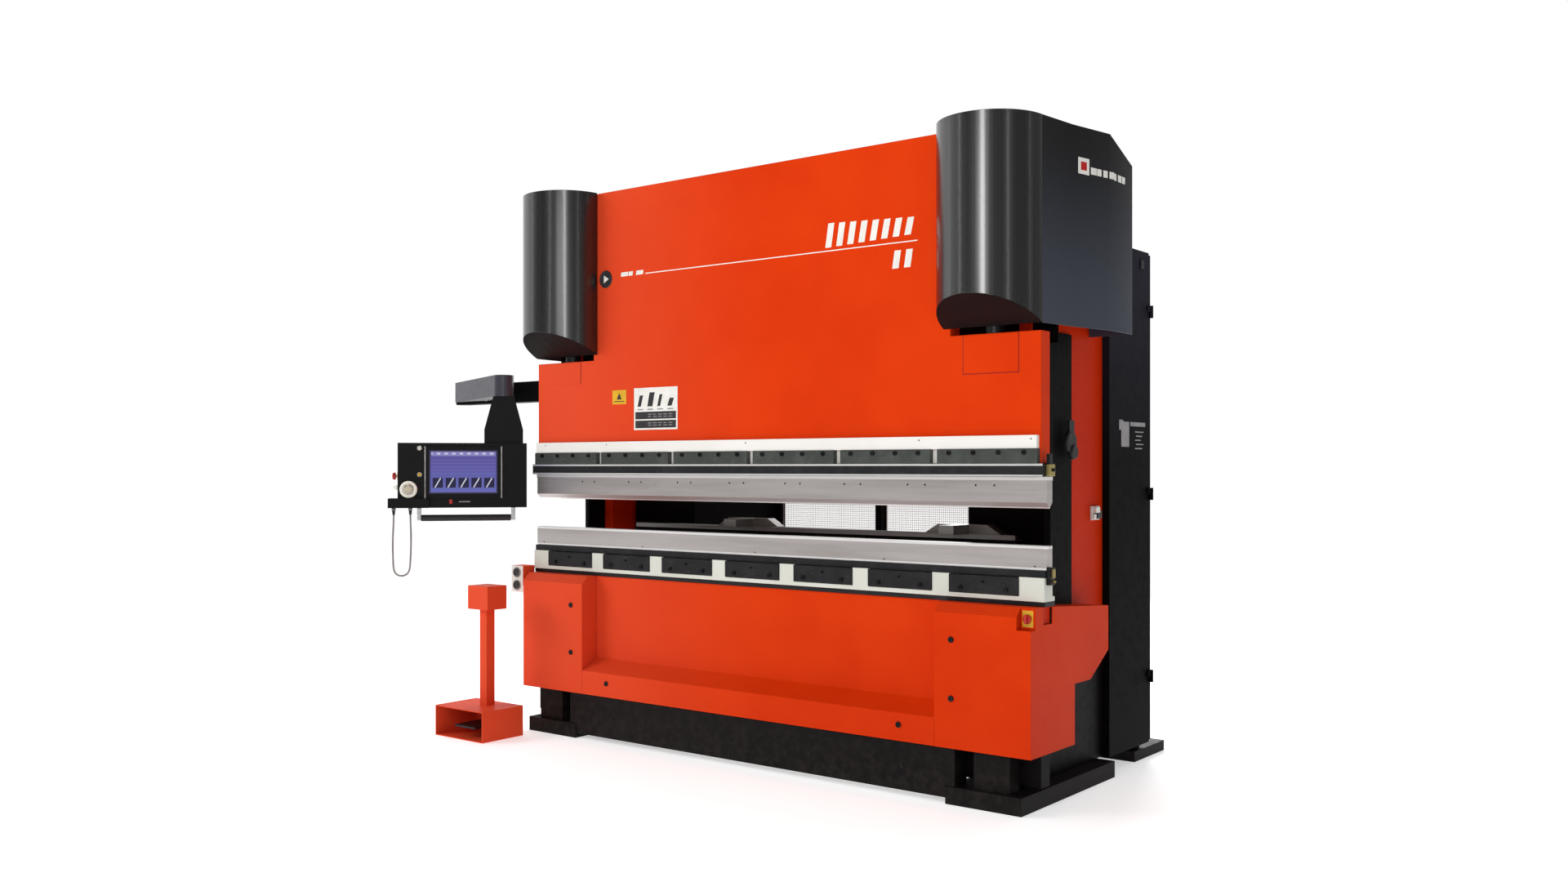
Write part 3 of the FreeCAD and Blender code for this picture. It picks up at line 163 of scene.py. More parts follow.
class Finish(Nodes):
    """One procedural material, built around a Principled shader."""

    def __init__(self, name, **constants):
        self.material = bpy.data.materials.new(name)
        self.material.use_nodes = True
        super().__init__(self.material.node_tree)
        self.tree.nodes.clear()
        self.shader = self.tree.nodes.new("ShaderNodeBsdfPrincipled")
        output = self.tree.nodes.new("ShaderNodeOutputMaterial")
        self.tree.links.new(self.shader.outputs[0], output.inputs[0])
        self.feed(**constants)

    def feed(self, **sockets):
        self.fill(self.shader, {name.replace("_", " "): value for name, value in sockets.items()})

    def axis(self, number):
        spot = self.add("ShaderNodeTexCoord", {}, 3)
        return self.add("ShaderNodeSeparateXYZ", {0: spot}, number)

    def noise(self, scale, detail=4.0, rough=0.55, stretch=(1, 1, 1)):
        """Noise over the object's own metres, stretched along its axes."""
        spot = self.add("ShaderNodeTexCoord", {}, 3)
        where = self.add("ShaderNodeMapping", {0: spot, 3: stretch})
        feeds = {"Vector": where, "Scale": scale, "Detail": detail, "Roughness": rough}
        return self.add("ShaderNodeTexNoise", feeds)

    def mix(self, factor, *pair):
        """A colour between two others, each a flow or (red, green, blue) up to 255."""
        first, second = (tint if isinstance(tint, Flow) else colour(*tint) for tint in pair)
        return self.add("ShaderNodeMix", {0: factor, 6: first, 7: second}, 2, data_type="RGBA")

    def bump(self, height, strength, distance):
        return self.add("ShaderNodeBump", {"Height": height, "Strength": strength, "Distance": distance})


def colour(red, green, blue):
    """A colour from 0-255 screen values to the linear values that shaders use."""
    return tuple(((c / 255 + 0.055) / 1.055) ** 2.4 if c > 10 else c / 255 / 12.92
                 for c in (red, green, blue)) + (1.0,)


print("helpers ready")

# %% [markdown]
# The machine's paint is an enamel. Close up it has an orange-peel skin and faint cloudiness from
# spraying, and low down it collects a film of workshop dust. One function makes every painted finish, so
# that red, black, grey and cream differ only in their numbers. A last argument lets a finish drift to a
# second colour along one axis. On the red and the tall black sides this is painted light: a painted sheen
# lightens the red towards the machine's left end, and painted bluish reflections lighten the black sides.
# The side frames and lower beam are truly two-tone, black from the plinth down.

# %% Painted finishes
PLINTH = 0.56


def enamel(name, base, deep, rough, coat, peel=0.12, dust=0.25, shine=0.3, painted_sheen_or_two_tone=None):
    """Drifts from base to deep. The last argument gives an axis, where it starts and ends, and a second
    colour: painted sheen on the red, painted reflections on the black sides, a second paint on the frame.
    """
    skin = Finish(name, Coat_Roughness=0.12, Specular_IOR_Level=shine)
    cloud = skin.noise(1.6, 3.0).ramp(0.3, 0.72)
    fine = skin.noise(240.0, 3.0, 0.6)
    mottle = skin.noise(26.0, 5.0, 0.65)
    near_floor = 1.0 - skin.axis(2).ramp(0.0, 0.5)
    film = near_floor * mottle.ramp(0.35, 0.75) * dust
    tone = skin.mix(cloud, base, deep)
    # Along this axis the colour is painted sheen on the red, painted reflection on the black sides, and a
    # second paint on the frame.
    if painted_sheen_or_two_tone:
        axis, start, end, sheen_or_two_tone_colour = painted_sheen_or_two_tone
        tone = skin.mix(skin.axis(axis).ramp(start, end), tone, sheen_or_two_tone_colour)
    skin.feed(Base_Color=skin.mix(film, tone, (150, 142, 130)),
              Roughness=rough + 0.12 * mottle.ramp(0.4, 0.8) + 0.3 * film,
              Coat_Weight=coat - 0.6 * coat * film,
              Normal=skin.bump(fine, peel, 0.0006))
    return skin.material


# The drift towards salmon at the machine's left end is a painted sheen.
machine_red = enamel("machine_red", (217, 58, 7), (207, 50, 4), 0.42, 0.0, 0.12, 0.02, 0.05,
                     (0, 0.2, -1.7, (224, 78, 46)))
frame_red = enamel("frame_red", (206, 46, 5), (196, 40, 3), 0.42, 0.0, 0.12, 0.0, 0.05,
                   (2, PLINTH, PLINTH - 0.0005, (15, 12, 12)))
seam_red = enamel("seam_red", (150, 22, 8), (130, 16, 6), 0.45, 0.1)
frame_black = enamel("frame_black", (22, 18, 18), (15, 13, 13), 0.55, 0.0, 0.25, 0.04, 0.1)
# Its bluish lightening towards the top is a painted sheen.
cabinet_black = enamel("cabinet_black", (13, 11, 11), (10, 8, 8), 0.55, 0.0, 0.2, 0.03, 0.03,
                       (2, 1.2, 2.6, (40, 40, 50)))
deep_black = enamel("deep_black", (8, 7, 7), (6, 5, 5), 0.55, 0.0, 0.2, 0.0, 0.05)
# Its bluish lightening lower down is a painted reflection.
hood_side_black = enamel("hood_side_black", (14, 13, 15), (11, 10, 12), 0.4, 0.05, 0.1, 0.0, 0.2,
                         (2, 2.9, 2.0, (62, 66, 78)))
arm_grey = enamel("arm_grey", (60, 60, 70), (52, 53, 62), 0.4, 0.1, 0.25, 0.0)
cream_paint = enamel("cream_paint", (216, 218, 208), (204, 207, 195), 0.45, 0.1, 0.2, 0.0)
bar_white = enamel("bar_white", (238, 235, 230), (230, 227, 221), 0.4, 0.1, 0.1, 0.0)
print("enamels ready")

# %% [markdown]
# The noses of the upper covers are moulded in glossy black with fine upright flutes, which draw lights
# out into long vertical streaks. The flutes run up the piece, so the noise is squeezed along Z until it
# becomes lines.

# %% The fluted black gloss of the cover noses
skin = Finish("hood_gloss", Coat_Roughness=0.12, Specular_IOR_Level=0.9)
flute = skin.noise(42.0, 1.0, 0.5, (1, 1, 0.002))
fine = skin.noise(120.0, 1.0, 0.5, (1, 1, 0.004))
skin.feed(Base_Color=skin.mix(flute.ramp(0.3, 0.7), (9, 9, 10), (16, 16, 17)),
          Roughness=0.22 + 0.10 * fine,
          Coat_Weight=0.2 + 0.2 * flute,
          Normal=skin.bump(flute, 0.08, 0.003))
hood_gloss = skin.material
print("hood gloss ready")

# %% [markdown]
# Punches and dies are ground along their length, so their scratches run along X and their reflections
# smear across them. The steel carries an uneven film of oil, a little brown where it is thickest. The
# clamps are blackened steel with worn, brighter spots.

# %% Bare and blackened steels
PAINTED_HIGHLIGHT = (252, 250, 248)


def ground_steel(name, bright, stained, rough=0.3, lines=()):
    """lines are the (low, high) heights of strips painted brighter as highlights where the tools catch the
    light.
    """
    skin = Finish(name, Metallic=1.0)
    streak = skin.noise(900.0, 3.0, 0.6, (0.02, 1, 1))
    band = skin.noise(3.0, 4.0, 0.6, (0.25, 1, 4))
    spot = skin.noise(34.0, 6.0, 0.7, (0.6, 1, 1))
    film = band.ramp(0.35, 0.75) * 0.6 + spot.ramp(0.6, 0.8) * 0.3
    tone = skin.mix(film, bright, stained)
    height = skin.axis(2)
    for low, high in lines:
        tone = skin.mix(height.within(low, high) * 0.85, tone, PAINTED_HIGHLIGHT)
    skin.feed(Base_Color=tone,
              Roughness=rough + 0.1 * streak + 0.12 * film,
              Normal=skin.bump(streak, 0.25, 0.0004))
    return skin.material


def blackened_steel(name, dark, worn, rough=0.45):
    skin = Finish(name, Metallic=0.7)
    scuff = skin.noise(60.0, 6.0, 0.7, (0.4, 1, 1))
    cloud = skin.noise(9.0, 4.0, 0.6)
    wear = scuff.ramp(0.58, 0.74) * 0.6 + cloud.ramp(0.4, 0.8) * 0.25
    skin.feed(Base_Color=skin.mix(wear, dark, worn),
              Roughness=rough - 0.12 * wear + 0.1 * cloud,
              Normal=skin.bump(scuff, 0.2, 0.0006))
    return skin.material


# The bright strips across punch and die are painted highlights.
tool_steel = ground_steel("tool_steel", (196, 190, 188), (154, 147, 144),
                          lines=((1.378, 1.394), (1.258, 1.266), (1.004, 1.014), (1.094, 1.108)))
slide_steel = ground_steel("slide_steel", (150, 148, 146), (96, 92, 88), 0.35)
chrome_rod = ground_steel("chrome_rod", (222, 222, 224), (190, 190, 192), 0.08)
lower_clamp_steel = blackened_steel("lower_clamp_steel", (36, 36, 38), (74, 74, 76))
upper_clamp_steel = blackened_steel("upper_clamp_steel", (72, 76, 72), (128, 132, 126), 0.4)
bright_lip = ground_steel("bright_lip", (248, 246, 244), (226, 222, 218), 0.25)
brass = ground_steel("brass", (176, 160, 104), (120, 106, 62), 0.35)
bolt_black = blackened_steel("bolt_black", (20, 20, 22), (80, 80, 82), 0.35)
print("steels ready")

# %% [markdown]
# Plastics: the panel is a moulded black housing with a fine grain, the dial a cream knob, and the keys
# are glossy. The cable is soft grey rubber. They all share one function: a base colour that drifts a
# little, a grain, and a roughness that drifts with the colour.

# %% Plastics and rubber
def moulded(name, base, drift, rough, grain=500.0, strength=0.1, shine=0.5):
    skin = Finish(name, Specular_IOR_Level=shine)
    spark = skin.noise(grain, 2.0, 0.5)
    smear = skin.noise(14.0, 5.0, 0.65)
    skin.feed(Base_Color=skin.mix(smear.ramp(0.35, 0.75), base, drift),
              Roughness=rough + 0.15 * smear.ramp(0.4, 0.8),
              Normal=skin.bump(spark, strength, 0.0003))
    return skin.material


panel_black = moulded("panel_black", (9, 9, 10), (14, 14, 15), 0.45, 900.0, 0.25, 0.15)
dial_cream = moulded("dial_cream", (250, 248, 238), (240, 236, 222), 0.35)
signal_red = moulded("signal_red", (190, 28, 22), (168, 20, 16), 0.25)
key_white = moulded("key_white", (226, 222, 206), (206, 202, 184), 0.3)
signal_yellow = moulded("signal_yellow", (226, 176, 30), (206, 156, 20), 0.35)
grip_rubber = moulded("grip_rubber", (16, 16, 17), (24, 24, 25), 0.55, 1400.0, 0.4)
cable_rubber = moulded("cable_rubber", (150, 150, 148), (126, 126, 124), 0.5, 1200.0, 0.3)
label_white = moulded("label_white", (236, 234, 228), (222, 220, 212), 0.35, 500.0, 0.05)
notice_grey = moulded("notice_grey", (150, 146, 148), (128, 124, 128), 0.4, 500.0, 0.05)
dial_centre = moulded("dial_centre", (206, 196, 172), (186, 176, 150), 0.35)
label_black = moulded("label_black", (34, 32, 34), (44, 42, 44), 0.4, 500.0, 0.05)
mesh_white = moulded("mesh_white", (214, 210, 206), (196, 192, 188), 0.4)
print("plastics ready")

# %% [markdown]
# Each finish belongs to one of the machine's named material slots, so that it can be exchanged later. The
# list below ties them together.

# %% Which slot each finish fills
SLOTS = {
    "red_paint": [machine_red, frame_red, seam_red],
    "black_paint": [frame_black, deep_black, cabinet_black, hood_side_black, bolt_black],
    "gloss_black": [hood_gloss],
    "grey_paint": [arm_grey],
    "pale_paint": [cream_paint, bar_white, label_white, mesh_white, signal_yellow],
    "tool_steel": [tool_steel],
    "dark_steel": [lower_clamp_steel, upper_clamp_steel],
    "bright_steel": [slide_steel, chrome_rod, bright_lip, brass],
    "black_plastic": [panel_black, grip_rubber, label_black, notice_grey],
    "dial_plastic": [dial_cream, dial_centre, key_white],
    "signal_red": [signal_red],
    "cable_sheath": [cable_rubber],
}
SLOT_OF = {finish.name: name for name, finishes in SLOTS.items() for finish in finishes}
print(len(SLOT_OF), "finishes in", len(SLOTS), "slots")

# %% [markdown]
# Real sheet metal and machined plate never ends in a perfect corner: a small round or chamfer catches the
# light along each edge, and the eye reads size from it. Each frame node is copied, its triangles merged
# back into whole faces, its edges bevelled, and the copy stands for the node.

# %% Soft-edged copies of the frame's nodes
MERGE = 1e-5
FLAT = math.radians(0.5)
SHARP = math.radians(35)


def finished_mesh(worker, name):
    """Applies the worker's modifiers and returns the plain mesh."""
    bpy.context.view_layer.update()
    graph = bpy.context.evaluated_depsgraph_get()
    mesh = bpy.data.meshes.new_from_object(worker.evaluated_get(graph))
    bpy.data.objects.remove(worker)
    mesh.name = name
    return mesh


def show(name, mesh, body, nodes=()):
    """Puts a mesh in the scene on a body, standing for some frame nodes."""
    piece = add_object(name, mesh)
    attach(piece, body)
    if nodes:
        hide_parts(*nodes)
    return piece


def whole_faces(node):
    shape = bmesh.new()
    shape.from_mesh(frame["nodes"][node].data)
    bmesh.ops.remove_doubles(shape, verts=shape.verts, dist=MERGE)
    bmesh.ops.dissolve_limit(shape, angle_limit=FLAT, verts=shape.verts, edges=shape.edges)
    return shape


def bevelled(mesh, width, name):
    worker = add_object(name, mesh)
    for polygon in mesh.polygons:
        polygon.use_smooth = True
    mesh.set_sharp_from_angle(angle=SHARP)
    edge = worker.modifiers.new("edge", "BEVEL")
    edge.width = width
    edge.segments = 2
    edge.limit_method = "ANGLE"
    edge.angle_limit = SHARP
    even = worker.modifiers.new("even", "WEIGHTED_NORMAL")
    even.keep_sharp = True
    return finished_mesh(worker, name)


def loose_parts(shape):
    """The separate solids of a shape, each a set of its vertices, in the order of their first one."""
    seen = set()
    for start in shape.verts:
        if start in seen:
            continue
        part = {start}
        edge = [start]
        while edge:
            for line in edge.pop().link_edges:
                fresh = [vert for vert in line.verts if vert not in part]
                part.update(fresh)
                edge.extend(fresh)
        seen |= part
        yield part


def span(verts):
    """The lowest and highest corners of some vertices."""
    lists = [[vert.co[axis] for vert in verts] for axis in range(3)]
    return Vector([min(values) for values in lists]), Vector([max(values) for values in lists])


def solids_of(node):
    """The lowest and highest corners of each solid in a node."""
    shape = whole_faces(node)
    spans = [span(part) for part in loose_parts(shape)]
    shape.free()
    return spans


def soften(node, width, *materials, choose=None, without=None):
    """A bevelled copy of a node. choose(face centre, normal) picks the material's number, and
    without(low, high) says which of the node's solids are left out."""
    shape = whole_faces(node)
    for part in list(loose_parts(shape)):
        if without and without(*span(part)):
            bmesh.ops.delete(shape, geom=list(part), context="VERTS")
    mesh = bpy.data.meshes.new(node)
    shape.to_mesh(mesh)
    shape.free()
    mesh = bevelled(mesh, width, node)
    mesh.materials.clear()
    for material in materials:
        mesh.materials.append(material)
    for polygon in mesh.polygons:
        polygon.material_index = choose(polygon.center, polygon.normal) if choose else 0
    return show(node + "_shell", mesh, frame["nodes"][node]["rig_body"], (node,))


PLAIN = {
    frame_red: {"frame_left": 3, "frame_right": 3, "lower_beam": 2},
    machine_red: {"front_panel": 2, "end_cover_left": 3, "end_cover_right": 3, "ram": 2.5,
                  "pedal_station": 1.5},
    frame_black: {"foot_plates": 4, "base_apron": 2, "tie_beams": 4},
    deep_black: {"scale_plates": 1.5, "inner_arm": 4, "arm_bracket": 2},
    cabinet_black: {"cabinet_left": 1, "cabinet_right": 1, "cabinet_door_left": 2,
                    "cabinet_door_right": 2},
    hood_side_black: {"side_cover_left": 1.5, "side_cover_right": 1.5},
    arm_grey: {"outer_arm": 5, "hydraulic_units": 5},
    bar_white: {"nose_bar": 1.5},
    cream_paint: {"die_holder": 1.5},
    tool_steel: {"die": 1, "punch": 0.8},
    slide_steel: {"gauge_rails": 2, "finger_left": 2, "finger_right": 2, "ram_guides": 1.5},
    lower_clamp_steel: {"table_plate": 1, "die_clamps": 3, "die_rail": 1, "punch_holder": 1.5,
                        "cylinders": 3, "gauge_carriages": 2, "foot_pedal": 1.5},
    upper_clamp_steel: {"punch_clamps": 2},
    bolt_black: {"piston_rods": 1},
    chrome_rod: {"ball_screw_left": 0.5, "ball_screw_right": 0.5},
    panel_black: {"panel_housing": 3, "panel_screen": 2},
}
for material, nodes in PLAIN.items():
    for node, millimetres in nodes.items():
        soften(node, millimetres / 1000, material)
print("softened", sum(len(nodes) for nodes in PLAIN.values()), "nodes")

# %% Nodes with two or three finishes
SOCKET_RIM = 0.0055
SOCKET_PLATE_END = -1.559
RACK_FOOT, BEAM_UNDERSIDE = 1.1, 1.014
GRIP_END = 0.03
socket_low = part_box("socket_box")[0]
handle_low, handle_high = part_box("panel_handle")


def socket_finish(c, n):
    return 2 if c.y < socket_low.y + SOCKET_RIM else int(n.y < -0.9 and c.x < SOCKET_PLATE_END)


soften("socket_box", 0.0015, machine_red, label_white, label_black, choose=socket_finish)
soften("gauge_beam", 0.002, cabinet_black, slide_steel,
       choose=lambda c, n: int(c.z > RACK_FOOT or c.z < BEAM_UNDERSIDE))
soften("panel_handle", 0.002, grip_rubber, chrome_rod,
       choose=lambda c, n: int(not handle_low.x + GRIP_END < c.x < handle_high.x - GRIP_END))
for side in ("left", "right"):
    soften("nose_cover_" + side, 0.0015, hood_gloss, frame_black, choose=lambda c, n: int(n.z < -0.3))
soften("switch_box", 0.001, machine_red)
print("two-tone nodes ready")

# %% [markdown]
# The rest of the machine is small parts: bolts, plates, knobs, labels. A Workpiece collects simple solids
# into one mesh. Every solid is a stack of rings closed at both ends, whether it is a box (two rectangles),
# a prism (two outlines) or a turned part (a stack of circles), so one method makes them all.

# %% A helper for small solid parts
TURN_STEPS = 40
FRAME = "machine_frame"
RAM = "ram_beam"
AHEAD = (0, -1, 0)
RIGHT = (1, 0, 0)


def facing(point, direction):
    """A place whose own Z axis points in a direction."""
    turn = Vector(direction).to_track_quat("Z", "Y").to_matrix().to_4x4()
    return Matrix.Translation(point) @ turn


def rectangle(x0, x1, z0, z1):
    return [(x0, z0), (x1, z0), (x1, z1), (x0, z1)]


class Workpiece:
    """A mesh put together from boxes, prisms and turned parts."""

    def __init__(self, place=Matrix()):
        self.shape = bmesh.new()
        self.place = place

    def loft(self, rings, finish=0, place=Matrix()):
        rows = [[self.shape.verts.new(self.place @ place @ Vector(point)) for point in ring]
                for ring in rings]
        faces = [self.shape.faces.new(rows[0]), self.shape.faces.new(rows[-1])]
        for lower, upper in zip(rows, rows[1:]):
            for k in range(len(lower)):
                faces.append(self.shape.faces.new((lower[k - 1], lower[k], upper[k], upper[k - 1])))
        for face in faces:
            face.material_index = finish
        return self

    def boxes(self, *rows):
        """Each row is x0, x1, y0, y1, z0, z1 and the finish."""
        for x0, x1, y0, y1, z0, z1, finish in rows:
            self.loft([[(x, y, z) for x, y in rectangle(x0, x1, y0, y1)] for z in (z0, z1)], finish)
        return self

    def plate(self, outline, front, back, finish=0, place=Matrix()):
        """An outline of (x, z) points given a thickness along Y."""
        return self.loft([[(x, y, z) for x, z in outline] for y in (front, back)], finish, place)

    def turned(self, profile, place, finish=0, steps=TURN_STEPS, flutes=0, depth=0.0):
        """A stack of circles of (radius, height) along the place's Z, with optional flutes."""
        rings = []
        for radius, height in profile:
            rings.append([])
            for k in range(steps):
                angle = 2 * math.pi * k / steps
                reach = radius - depth * (1 - math.cos(flutes * angle)) / 2
                rings[-1].append((reach * math.cos(angle), reach * math.sin(angle), height))
        return self.loft(rings, finish, place)

    def mesh(self, name, materials, width=0.0):
        bmesh.ops.recalc_face_normals(self.shape, faces=self.shape.faces)
        mesh = bpy.data.meshes.new(name)
        self.shape.to_mesh(mesh)
        self.shape.free()
        for material in materials:
            mesh.materials.append(material)
        return bevelled(mesh, width, name) if width else mesh

    def make(self, name, body, *materials, width=0.0005, nodes=()):
        return show(name, self.mesh(name, materials, width), body, nodes)


def placed(x, y=0.0, z=0.0):
    """A workpiece whose numbers are measured from a point."""
    return Workpiece(Matrix.Translation((x, y, z)))


print("workpiece helper ready")

# %% [markdown]
# Screws, rack teeth, louvres and wires repeat by the dozen. That is work for Geometry Nodes: one tree
# holds the rule, and its inputs hold the sizes. Pattern builds such a tree the way Finish builds a
# material, ends it in Realize Instances and Set Material, and turns the result into a plain mesh.

# %% A helper for Geometry Nodes
class Pattern(Nodes):
    """A Geometry Nodes tree with named inputs."""

    def __init__(self, name, **inputs):
        super().__init__(bpy.data.node_groups.new(name, "GeometryNodeTree"))
        face = self.tree.interface
        inputs = {"Geometry": "Geometry", **inputs, "Material": "Material"}
        self.keys = {key: face.new_socket(key, in_out="INPUT", socket_type="NodeSocket" + kind).identifier
                     for key, kind in inputs.items()}
        face.new_socket("Geometry", in_out="OUTPUT", socket_type="NodeSocketGeometry")
        entry = self.tree.nodes.new("NodeGroupInput")
        self.given = {key: Flow(self, entry.outputs[key]) for key in inputs}
        self.exit = self.tree.nodes.new("NodeGroupOutput")

    def vector(self, x=0.0, y=0.0, z=0.0):
        return self.add("ShaderNodeCombineXYZ", {0: x, 1: y, 2: z})

    def copies(self, points, instance, turn=(0.0, 0.0, 0.0)):
        feeds = {"Points": points, "Instance": instance, "Rotation": turn}
        return self.add("GeometryNodeInstanceOnPoints", feeds)

    def close(self, *instances):
        joined = self.add("GeometryNodeJoinGeometry", {})
        for item in instances:
            self.fill(joined.socket.node, {0: item})
        real = self.add("GeometryNodeRealizeInstances", {0: joined})
        dressed = self.add("GeometryNodeSetMaterial", {0: real, "Material": self.given["Material"]})
        self.fill(self.exit, {0: dressed})

    def grow(self, name, mesh, body, material, nodes=(), **values):
        worker = add_object(name, mesh)
        modifier = worker.modifiers.new("pattern", "NODES")
        modifier.node_group = self.tree
        for key, value in dict(values, Material=material).items():
            modifier[self.keys[key]] = value
        grown = finished_mesh(worker, name)
        grown.materials.clear()
        grown.materials.append(material)
        return show(name, grown, body, nodes)


print("pattern helper ready")

# %% [markdown]
# A cap screw is a short, slightly tapered head with a hexagonal socket. The tree cuts the socket once and
# puts a copy on every point. The heads on this machine's clamps and covers all look forwards, along -Y.

# %% The screw pattern
FORWARDS = (math.radians(90), 0.0, 0.0)
RIGHTWARDS = (0.0, math.radians(90), 0.0)
TAPER = 0.93
SOCKET_SHARE = 0.5
cap_screws = Pattern("cap_screws", Radius="Float", Height="Float", Turn="Vector")
given = cap_screws.given
head = cap_screws.add("GeometryNodeMeshCone", {
    "Vertices": 24, "Radius Top": given["Radius"] * TAPER, "Radius Bottom": given["Radius"],
    "Depth": given["Height"]})
cutter = cap_screws.add("GeometryNodeMeshCylinder", {
    "Vertices": 6, "Radius": given["Radius"] * SOCKET_SHARE, "Depth": given["Height"]})
lifted = cap_screws.add("GeometryNodeTransform", {
    0: cutter, "Translation": cap_screws.vector(z=given["Height"])})
drilled = cap_screws.add("GeometryNodeMeshBoolean", {"Mesh 1": head, "Mesh 2": lifted},
                         operation="DIFFERENCE")
cap_screws.close(cap_screws.copies(given["Geometry"], drilled, given["Turn"]))
print("cap screw tree has", len(cap_screws.tree.nodes), "nodes")


def dots(places):
    mesh = bpy.data.meshes.new("places")
    mesh.from_pydata([tuple(place) for place in places], [], [])
    return mesh


def screws(name, body, places, radius, height, material=bolt_black, turn=FORWARDS, nodes=()):
    return cap_screws.grow(name, dots(places), body, material, nodes, Radius=radius, Height=height,
                           Turn=turn)


# %% Screws where the frame has them
FLANGE = 1.35
for node in ("punch_clamp_bolts", "die_clamp_bolts", "cover_screws"):
    groups = {}
    for low, high in solids_of(node):
        size = round((high.x - low.x) / 2, 3)
        spot = Vector(((low.x + high.x) / 2, high.y, (low.z + high.z) / 2))
        groups.setdefault(size, []).append((spot, high.y - low.y))
    for size, heads in sorted(groups.items()):
        screws("%s_%d" % (node, 1000 * size), frame["nodes"][node]["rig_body"],
               [spot for spot, height in heads], FLANGE * size, heads[0][1],
               nodes=(node,) if size == min(groups) else ())
    print(node, sum(len(heads) for heads in groups.values()), "heads")

# %% [markdown]
# Smaller screws hold the white bar, the base and the plates. On the punch, pairs of small screws mark
# where each tool section is held.

# %% More screws
SECTION_PITCH = 0.345
SECTION_START = -1.15
PAIR = 0.045
PROUD = 0.0005
punch_low, punch_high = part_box("punch")
nose_low, nose_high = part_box("nose_bar")
apron_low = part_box("base_apron")[0]
die_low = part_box("die")[0]
tool_front = punch_low.y + 0.004
pair_x = [SECTION_START + SECTION_PITCH * k + side for k in range(8) for side in (-PAIR, PAIR)]
for name, body, row, y, z, *looks in (
        ("punch_section_screws", RAM, pair_x, tool_front, punch_high.z - 0.038, 0.0045, 0.0015),
        ("nose_bar_screws", RAM, (-1.45, -0.98, -0.03, 0.955, 1.5), nose_low.y, nose_high.z - 0.016,
         0.004, 0.0015, slide_steel),
        ("apron_screws", FRAME, (-0.86, 0.915), apron_low.y, 0.131, 0.010, 0.004),
        ("die_stop_screws", FRAME, (-1.5, -0.75, 0.0, 0.75, 1.5), die_low.y, die_low.z + 0.016,
         0.004, 0.001)):
    screws(name, body, [(x, y + PROUD, z) for x in row], *looks)
print("small screws placed")

# %% [markdown]
# The ram is the widest face of the machine, and a plain one. It carries two thin access plates below the
# upper covers, a round badge, a long pinstripe with slanted bars at its end, and two notices. The marks are
# generic shapes: no lettering.

# %% Plates and marks on the ram
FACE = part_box("ram")[0].y
STICKER = 0.0006
STRIPE_Z = 2.430
BAR_WIDTH = 0.034
BAR_PITCH = 0.062
BADGE = (-1.007, FACE, 2.426)


def slanted(x0, x1, z0, z1, lean):
    return [(x0, z0), (x1, z0), (x1 + lean, z1), (x0 + lean, z1)]


def on_ram(piece, outline, out=STICKER, back=0.0, finish=0):
    """A thin plate on the ram's face, reaching from back to out in front of it."""
    piece.plate(outline, FACE - out, FACE - back, finish)


access = Workpiece()
on_ram(access, rectangle(1.166, 1.429, 1.835, 1.995), 0.0015)
on_ram(access, rectangle(-1.46, -1.20, 1.880, 1.995), 0.0015)
access.make("access_plates", RAM, machine_red, width=0.0006)
seams = Workpiece()
for sides in ((1.429, 1.433, 1.832, 1.999), (1.162, 1.166, 1.832, 1.999),
              (1.162, 1.433, 1.829, 1.833), (-1.20, -1.196, 1.877, 1.999)):
    on_ram(seams, rectangle(*sides), 0.0004)
seams.make("access_seams", RAM, seam_red, width=0)

marks = Workpiece()
on_ram(marks, rectangle(-0.72, 0.933, STRIPE_Z, STRIPE_Z + 0.005))
for k, width in enumerate((0.05, 0.03, 0.05)):
    x = -0.897 + 0.055 * k
    on_ram(marks, slanted(x, x + width, STRIPE_Z, STRIPE_Z + 0.022, 0.004))
for k in range(8):
    x = 0.430 + BAR_PITCH * k
    on_ram(marks, slanted(x, x + BAR_WIDTH, 2.448 + 0.002 * k, 2.560 - 0.003 * k, 0.018))
for k in range(2):
    x = 0.800 + BAR_PITCH * k
    on_ram(marks, slanted(x, x + BAR_WIDTH, 2.318, 2.398, 0.013))
marks.make("pinstripe_and_bars", RAM, label_white, width=0.0002)

clamps = sorted(solids_of("punch_clamps"), key=lambda pair: pair[0].x)
backing = Workpiece()
for before, after in zip(clamps, clamps[1:]):
    gap = rectangle(before[1].x + 0.001, after[0].x - 0.001, before[0].z + 0.001, before[1].z)
    on_ram(backing, gap, 0.004)
backing.make("clamp_gaps", RAM, bar_white, width=0.0004)
holder_low, holder_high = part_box("punch_holder")
lips = Workpiece()
for z0, z1 in ((holder_high.z - 0.010, holder_high.z - 0.001), (holder_low.z + 0.001, holder_low.z + 0.008)):
    lips.plate(rectangle(holder_low.x + 0.002, holder_high.x - 0.002, z0, z1), holder_low.y - 0.001,
               holder_low.y)
lips.make("holder_lips", RAM, bright_lip, width=0.0003)

badge = Workpiece()
badge.turned([(0.046, 0), (0.046, 0.003), (0.040, 0.005), (0.038, 0.0035), (0.030, 0.003)],
             facing(BADGE, AHEAD))
badge.turned([(0.024, 0.002), (0.024, 0.0045), (0.020, 0.0052)], facing(BADGE, AHEAD), 1, 3)
badge.make("round_badge", RAM, label_black, label_white, width=0.0004)
print("ram dressed, with", len(clamps), "clamps across it")

